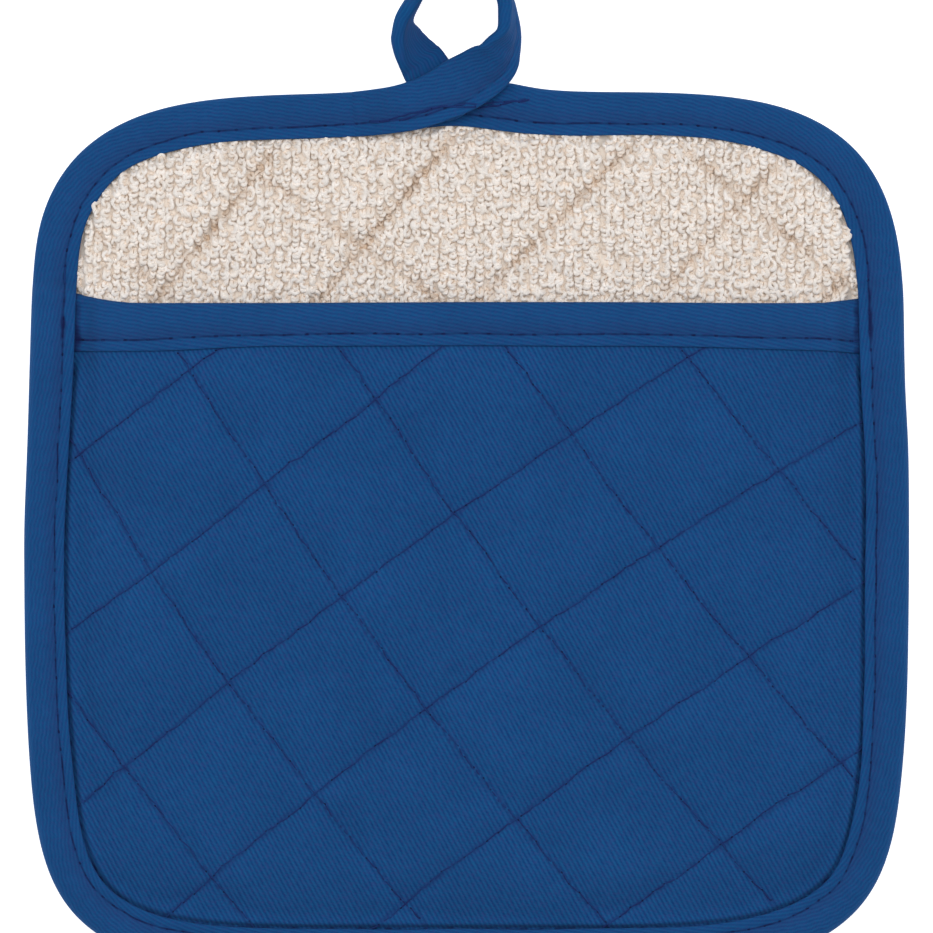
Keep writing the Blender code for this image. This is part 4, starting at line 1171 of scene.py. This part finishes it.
# the ground's direction is kept on the points before they move
seeds = store_on(seeds, "ground_normal", drop["Hit Normal"], "FLOAT_VECTOR")
seeds = add("GeometryNodeSetPosition", {"Geometry": seeds, "Position": drop["Hit Position"]})
print("lattice falls on the ground cloth")

# %% Five curls of yarn
# feet and handles of each curl, in shares of the pile's height
CURLS = [
    ((-0.3, 0.45, -0.35), (-1.0, -0.95, 1.3), (1.0, -0.95, 1.3), (0.3, 0.45, -0.35)),
    ((-0.35, 0.35, -0.35), (-1.25, -0.6, 1.25), (0.5, -1.3, 1.35), (0.25, 0.5, -0.35)),
    ((-0.25, 0.5, -0.35), (-0.5, -1.25, 1.35), (1.2, -0.65, 1.2), (0.35, 0.35, -0.35)),
    ((-0.3, 0.6, -0.35), (1.0, 1.0, 1.3), (0.9, -1.0, 1.25), (-0.3, -0.55, -0.35)),
    ((0.3, 0.55, -0.35), (-1.0, 1.0, 1.25), (-0.9, -1.0, 1.35), (0.25, -0.6, -0.35)),
]


def bent_curl(curl):
    """One curl as an instance, which knows how far up the pile each of its points is."""
    bend = {"Resolution": 9}
    for label, share in zip(("Start", "Start Handle", "End Handle", "End"), curl):
        scaled = {0: share, "Scale": given["Pile Height"]}
        bend[label] = add("ShaderNodeVectorMath", scaled, operation="SCALE")
    bend = add("GeometryNodeCurvePrimitiveBezierSegment", bend)
    yarn = round_along(bend, given["Yarn Thickness"])
    upward = add("ShaderNodeSeparateXYZ", {"Vector": add("GeometryNodeInputPosition")}, 2)
    # how far up the pile a point is, which the yarn material turns into painted shade at the foot
    yarn = store_on(yarn, "rise", calculate("DIVIDE", upward, given["Pile Height"]))
    return add("GeometryNodeGeometryToInstance", {"Geometry": yarn})


curls = joined([bent_curl(curl) for curl in CURLS])
print(len(CURLS), "curls bent")

# %% Set the curls on the points
# most curls lean down their wale, a few are turned aside
aside = times(calculate("POWER", random_number(-1.0, 1.0, 3), 3.0), 1.6)
tilt = random_number(-0.35, 0.35, 4)
# on a slope they still stand nearly upright, so that none leans over the strip's lip
upright = {0: stored("ground_normal", "FLOAT_VECTOR"), 1: (0, 0, 5.0)}
upright = add("ShaderNodeVectorMath", upright, operation="ADD")
face_up = add("FunctionNodeAlignRotationToVector", {"Vector": upright}, axis="Z")
leaning = turned_by(turned_by(face_up, turn_about((0, 0, 1), aside)), turn_about((1, 0, 0), tilt))
# in a crease they are smaller
loop_size = times(random_number(0.85, 1.2, 5), calculate("SUBTRACT", 1.0, times(stored("crease"), 0.2)))
which = {4: 0, 5: len(CURLS) - 1, "Seed": draw_seed(6)}
which = add("FunctionNodeRandomValue", which, 2, data_type="INT")
planting = {"Points": seeds, "Instance": curls, "Pick Instance": True, "Instance Index": which}
planting["Rotation"] = leaning
planting["Scale"] = vector(loop_size, loop_size, loop_size)
planted = add("GeometryNodeInstanceOnPoints", planting)
planted = store_on(planted, "tone", random_number(0.0, 1.0, 8), domain="INSTANCE")
end_tree(planted, terry_yarn)

# %% Grow the pile on the part of the terry that shows
PILE_DEPTH = 18 * MM  # how far the pile is drawn inside the mouth
TUFT = 0.17 * MM
# name, from and to in X, and how far its lattice is shifted so that no wale is halved, in mm
PATCHES = (("left", -96, -32, 1.2), ("middle", -32, 32, 0), ("right", 32, 96, -0.8))


def pile_ground(from_x, to_x):
    """The terry's ground between two values of X, as a patch for curls to stand on."""
    ys = np.arange(MOUTH_Y - PILE_DEPTH, TOP_Y + 3 * MM, 0.5 * MM)
    x, y = np.meshgrid(np.linspace(from_x, to_x, 129), ys)
    plan = np.stack([x.ravel(), y.ravel()], axis=1)
    _, high, crease = back_faces(plan)
    roof = pocket_faces(plan)[0] - MOUTH_LIFT
    # the loops stand in uneven tufts
    u, v = plan[:, 0] / MM, plan[:, 1] / MM
    tufts = np.sin(u / 0.95 + 2 * np.sin(v / 2.3)) + np.sin(v / 0.8 + 2.2 * np.sin(u / 1.9))
    inside = distance_inside(plan)
    high = high + TUFT * tufts * smoothstep(LIP, LIP + 2.5 * MM, inside)
    # a curl hangs down its wale from its foot, so its foot may stand just under the upper lip
    hangs = distance_inside(plan - np.array([0, 0.6 * MM]))
    shows = inside_body(plan) & (np.maximum(inside, hangs) > LIP - 0.2 * MM) & (inside > LIP - 1.0 * MM)
    shows &= (plan[:, 1] > MOUTH_Y + 0.2 * MM) | (roof - high > 1.6 * MM)
    _, quads = grid_quads(*x.shape)
    quads = quads[shows[quads].all(axis=1)]
    patch = mesh_piece("pile_ground", np.c_[plan, high], quads.tolist())
    if patch.data.polygons[0].normal.z < 0:
        patch.data.flip_normals()
    store(patch, "crease", crease)
    return patch


pile_pieces = []
for number, (side, from_x, to_x, shift) in enumerate(PATCHES):
    place = {"Centre X": ((from_x + to_x) / 2 + shift) * MM, "Centre Y": MOUTH_Y + 14 * MM}
    sizes = {"Width": 64 * MM, "Depth": 78 * MM, "Seed": 7 + 20 * number, **place}
    patch = pile_ground(from_x * MM, to_x * MM)
    pile_pieces.append(grow(patch, pile_tree, "terry_pile_" + side, sizes))

# %% [markdown]
# ## The stitches
#
# A stitch is a short piece of thread that lies on the cloth between two needle holes and dives
# into them. All rows of stitches come from one tree: it sets a shallow arch of thread on each
# point, turned along the seam and standing on the cloth's face, and a small dark flattened ball
# at its start, which is painted shade for the needle hole. The seams themselves are worked out
# from the quilting rule and from the strips' channels, so that the stitches lie in them.

# %% Thread material
thread, shader = new_material("thread", 0.8, sheen=0.02)
twist = noise(coordinates(), 2500.0)
fade = attribute("fade")
colour = blend_colours(twist, linear(26, 38, 92), linear(36, 52, 108))
colour = blend_colours(times(fade, 0.8), colour, linear(30, 64, 122))
# painted shade at the needle holes, on the dark balls at each stitch's start
dark = times(attribute("hole_shade"), between(fade, 0.1, 0.9, 1.0, 0.2))
colour = blend_colours(dark, colour, linear(20, 28, 70))
finish_material(shader, colour, twist, 0.05 * MM)
print("thread ready")

# %% Stitch tree
stitch_sizes = {
    "Stitch Length": 0.003,
    "Thread Thickness": 0.0004,
    "Rise": 0.0002,
    "Sink": 0.0003,
    "Hole Size": 0.00034,
    "Seed": 1,
}
stitch_tree, given = new_tree("stitch row", stitch_sizes)
half_length = times(given["Stitch Length"], 0.5)
before = times(half_length, -1.0)
under = times(given["Sink"], -1.0)
arch = {"Resolution": 4, "Start": vector(before, 0.0, under), "End": vector(half_length, 0.0, under)}
arch["Middle"] = vector(0.0, 0.0, given["Rise"])
strand = round_along(add("GeometryNodeCurveQuadraticBezier", arch), given["Thread Thickness"], True)
# a dark flattened ball at the stitch's start: painted shade for the needle hole
hole_shade = add("GeometryNodeMeshUVSphere", {"Segments": 7, "Rings": 3, "Radius": given["Hole Size"]})
flattened = {"Geometry": hole_shade, "Translation": vector(before), "Scale": (1.25, 0.8, 0.35)}
hole_shade = store_on(add("GeometryNodeTransform", flattened), "hole_shade", 1.0)
one_stitch = joined([strand, hole_shade])

axes = {"Primary Axis": stored("along", "FLOAT_VECTOR")}
axes["Secondary Axis"] = stored("off_cloth", "FLOAT_VECTOR")
lay = add("FunctionNodeAxesToRotation", axes, primary_axis="X", secondary_axis="Z")
row = {"Points": add("GeometryNodeMeshToPoints", {"Mesh": given["Geometry"]}), "Instance": one_stitch}
row["Rotation"] = turned_by(lay, turn_about((0, 0, 1), random_number(-0.14, 0.14, 1)))
row["Scale"] = vector(random_number(0.94, 1.04, 2), 1.0, 1.0)
row = add("GeometryNodeInstanceOnPoints", row)
end_tree(store_on(row, "fade", random_number(0.0, 1.0, 3), domain="INSTANCE"), thread)


# %% Space stitches along a seam
def seam(path, off_cloth, stitch, measure=None):
    """Middle, direction and upward direction of each stitch between needle holes along a path."""
    if measure is None:
        measure = run_along(path)
    holes = np.arange(math.ceil(measure[0] / stitch) * stitch, measure[-1] + 0.8 * stitch, stitch)
    spots, up = (read_off(holes, measure, line) for line in (path, off_cloth))
    return (spots[1:] + spots[:-1]) / 2, spots[1:] - spots[:-1], (up[1:] + up[:-1]) / 2


def sew(name, seams, stitch, **sizes):
    """One piece with the stitches of several seams. The sizes are the stitch tree's, in mm."""
    middles, along, up = (np.vstack([s[k] for s in seams]) for k in range(3))
    mesh = bpy.data.meshes.new(name + "_points")
    mesh.from_pydata(middles.tolist(), [], [])
    base = bpy.data.objects.new(name + "_points", mesh)
    bpy.context.scene.collection.objects.link(base)
    store(base, "along", along, "FLOAT_VECTOR")
    store(base, "off_cloth", up, "FLOAT_VECTOR")
    labels = {label.lower().replace(" ", "_"): label for label in stitch_sizes}
    sizes = {labels[short]: value * MM for short, value in sizes.items()}
    return grow(base, stitch_tree, name, {"Stitch Length": stitch, **sizes})


def settled(piece, plan, from_above=True):
    """Places and upward directions on a piece's face, above or below points of the plan."""
    way = -1.0 if from_above else 1.0
    spots, ups = [], []
    for x, y in plan:
        hit, spot, up, _ = piece.ray_cast((x, y, -0.05 * way), (0, 0, way))
        spots.append(spot if hit else (x, y, 0.0))
        ups.append(up if hit else (0, 0, -way))
    return np.array(spots), np.array(ups)


def seams_on(families, piece, stitch, keep, from_above=True):
    """Quilting stitches on a piece's face, where keep says that it is sewn."""
    seams = []
    for along, left, row in quilt_lines(families):
        a = np.arange(-0.15, 0.15, 0.25 * MM)
        strays = wavering(a, 3.7 * MM, 0.3 * MM, 50 + len(seams))
        strays += wavering(a, 14 * MM, 0.3 * MM, 80 + len(seams))
        plan = a[:, None] * along + (line_offset(a, row) + strays)[:, None] * left
        good = keep(plan)
        if good.sum() < 20:
            continue
        runs = np.flatnonzero(good)
        plan = plan[runs[0] : runs[-1] + 1]
        path, off_cloth = settled(piece, plan, from_above)
        seams.append(seam(path, off_cloth, stitch))
    return seams


# %% Sew the quilting
QUILT_STITCH = 3.2 * MM


def on_underside(plan):
    return inside_body(plan) & (distance_inside(plan) > LIP - 0.5 * MM)


def on_pocket(plan):
    return on_underside(plan) & (plan[:, 1] < MOUTH_Y - MOUTH_WIDTH + 1.6 * MM)


bpy.context.view_layer.update()
pocket_seams = seams_on(POCKET_QUILT, pocket_pad, QUILT_STITCH, on_pocket)
finer = {"thread_thickness": 0.4, "hole_size": 0.28}
pocket_stitches = sew("pocket_stitches", pocket_seams, QUILT_STITCH, rise=0.2, sink=0.2, **finer)

under_seams = seams_on(BACK_QUILT, back_pad, QUILT_STITCH, on_underside, from_above=False)
under_stitches = sew("underside_stitches", under_seams, QUILT_STITCH, rise=0.3, sink=0.12)

# %% Sew the strips down
ring_count = len(ring_runs)
upper_path = np.array([s[0][UPPER_CHANNEL] for s in edge_sections])
upper_face = np.array(edge_faces)
lower_path = np.array([s[0][LOWER_CHANNEL] for s in edge_sections])
sewn = slice(len(starts), ring_count + 4 * TAIL_STEPS)
edge_seams = [seam(upper_path[sewn], upper_face[sewn], EDGE_STITCH, edge_along[sewn])]
under_ring = slice(0, ring_count - 1)
edge_seams.append(
    seam(lower_path[under_ring], -upper_face[under_ring], EDGE_STITCH, edge_along[under_ring])
)
edge_stitches = sew("edge_stitches", edge_seams, EDGE_STITCH, rise=0.25, hole_size=0.38)

free = slice(ring_count + 5 * TAIL_STEPS, len(edge_along))
loop_seam = [seam(upper_path[free], upper_face[free], EDGE_STITCH, edge_along[free])]
loop_stitches = sew("loop_stitches", loop_seam, EDGE_STITCH, hole_size=0.2, thread_thickness=0.3)

mouth_path = np.array([s[0][UPPER_CHANNEL] for s in mouth_sections])
mouth_face = np.tile([0, 0, 1.0], (len(mouth_path), 1))
mouth_seams = [seam(mouth_path, mouth_face, MOUTH_STITCH, mouth_xs)]
mouth_stitches = sew("mouth_stitches", mouth_seams, MOUTH_STITCH, rise=0.22)

# %% Backstitches that close the crossing
BACKSTITCH = 2.6 * MM
# where they run, in mm across and up, to and fro over both ends of the strip
CROSSING = [(-22.0, 79.3), (-15.6, 79.9), (-11.9, 81.0), (-6.9, 82.7)]
CROSSING += [(0.9, 83.0), (5.0, 83.2), (9.5, 83.9), (13.8, 84.4)]

fine = np.linspace(0, len(CROSSING) - 1, 400)
there = read_off(fine, range(len(CROSSING)), np.array(CROSSING) * MM)
jog = wavering(fine, 0.35, 0.35 * MM, 31)
passes = []
for number, offset in enumerate((0.0, 0.45)):
    path, off_cloth = settled(edge_strip, there + np.c_[0 * jog, jog * (1 - 2 * number) + offset * MM])
    passes.append(seam(path, off_cloth, BACKSTITCH))
thicker = {"thread_thickness": 0.5, "hole_size": 0.26}
crossing_stitches = sew("crossing_stitches", passes, BACKSTITCH, rise=0.3, sink=0.15, **thicker)

# %% [markdown]
# ## Put the pieces on the body
#
# Each cloth piece hides the CAD part that it stands for. Cloth has no joint, so all of them ride
# on the one body.

# %% Hide the CAD parts and put everything on the body
for piece, node_name, finish in (
    (back_pad, "back_panel", "terry"),
    (pocket_pad, "pocket_panel", "pocket_twill"),
    (mouth_strip, "pocket_binding", "binding_twill"),
    (edge_strip, "edge_binding", "binding_twill"),
):
    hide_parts(node_name)
    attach(piece, "root")

for piece in pile_pieces:
    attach(piece, "root")

quilting = [pocket_stitches, under_stitches]
strip_seams = [edge_stitches, loop_stitches, mouth_stitches, crossing_stitches]
for piece in quilting + strip_seams:
    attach(piece, "root")

# %% Write the sizes and finish
new_low, new_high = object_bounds()
for label, low, high in (("CAD", cad_low, cad_high), ("visual", new_low, new_high)):
    print(label, [round(1000 * (b - a), 1) for a, b in zip(low, high)], "mm")
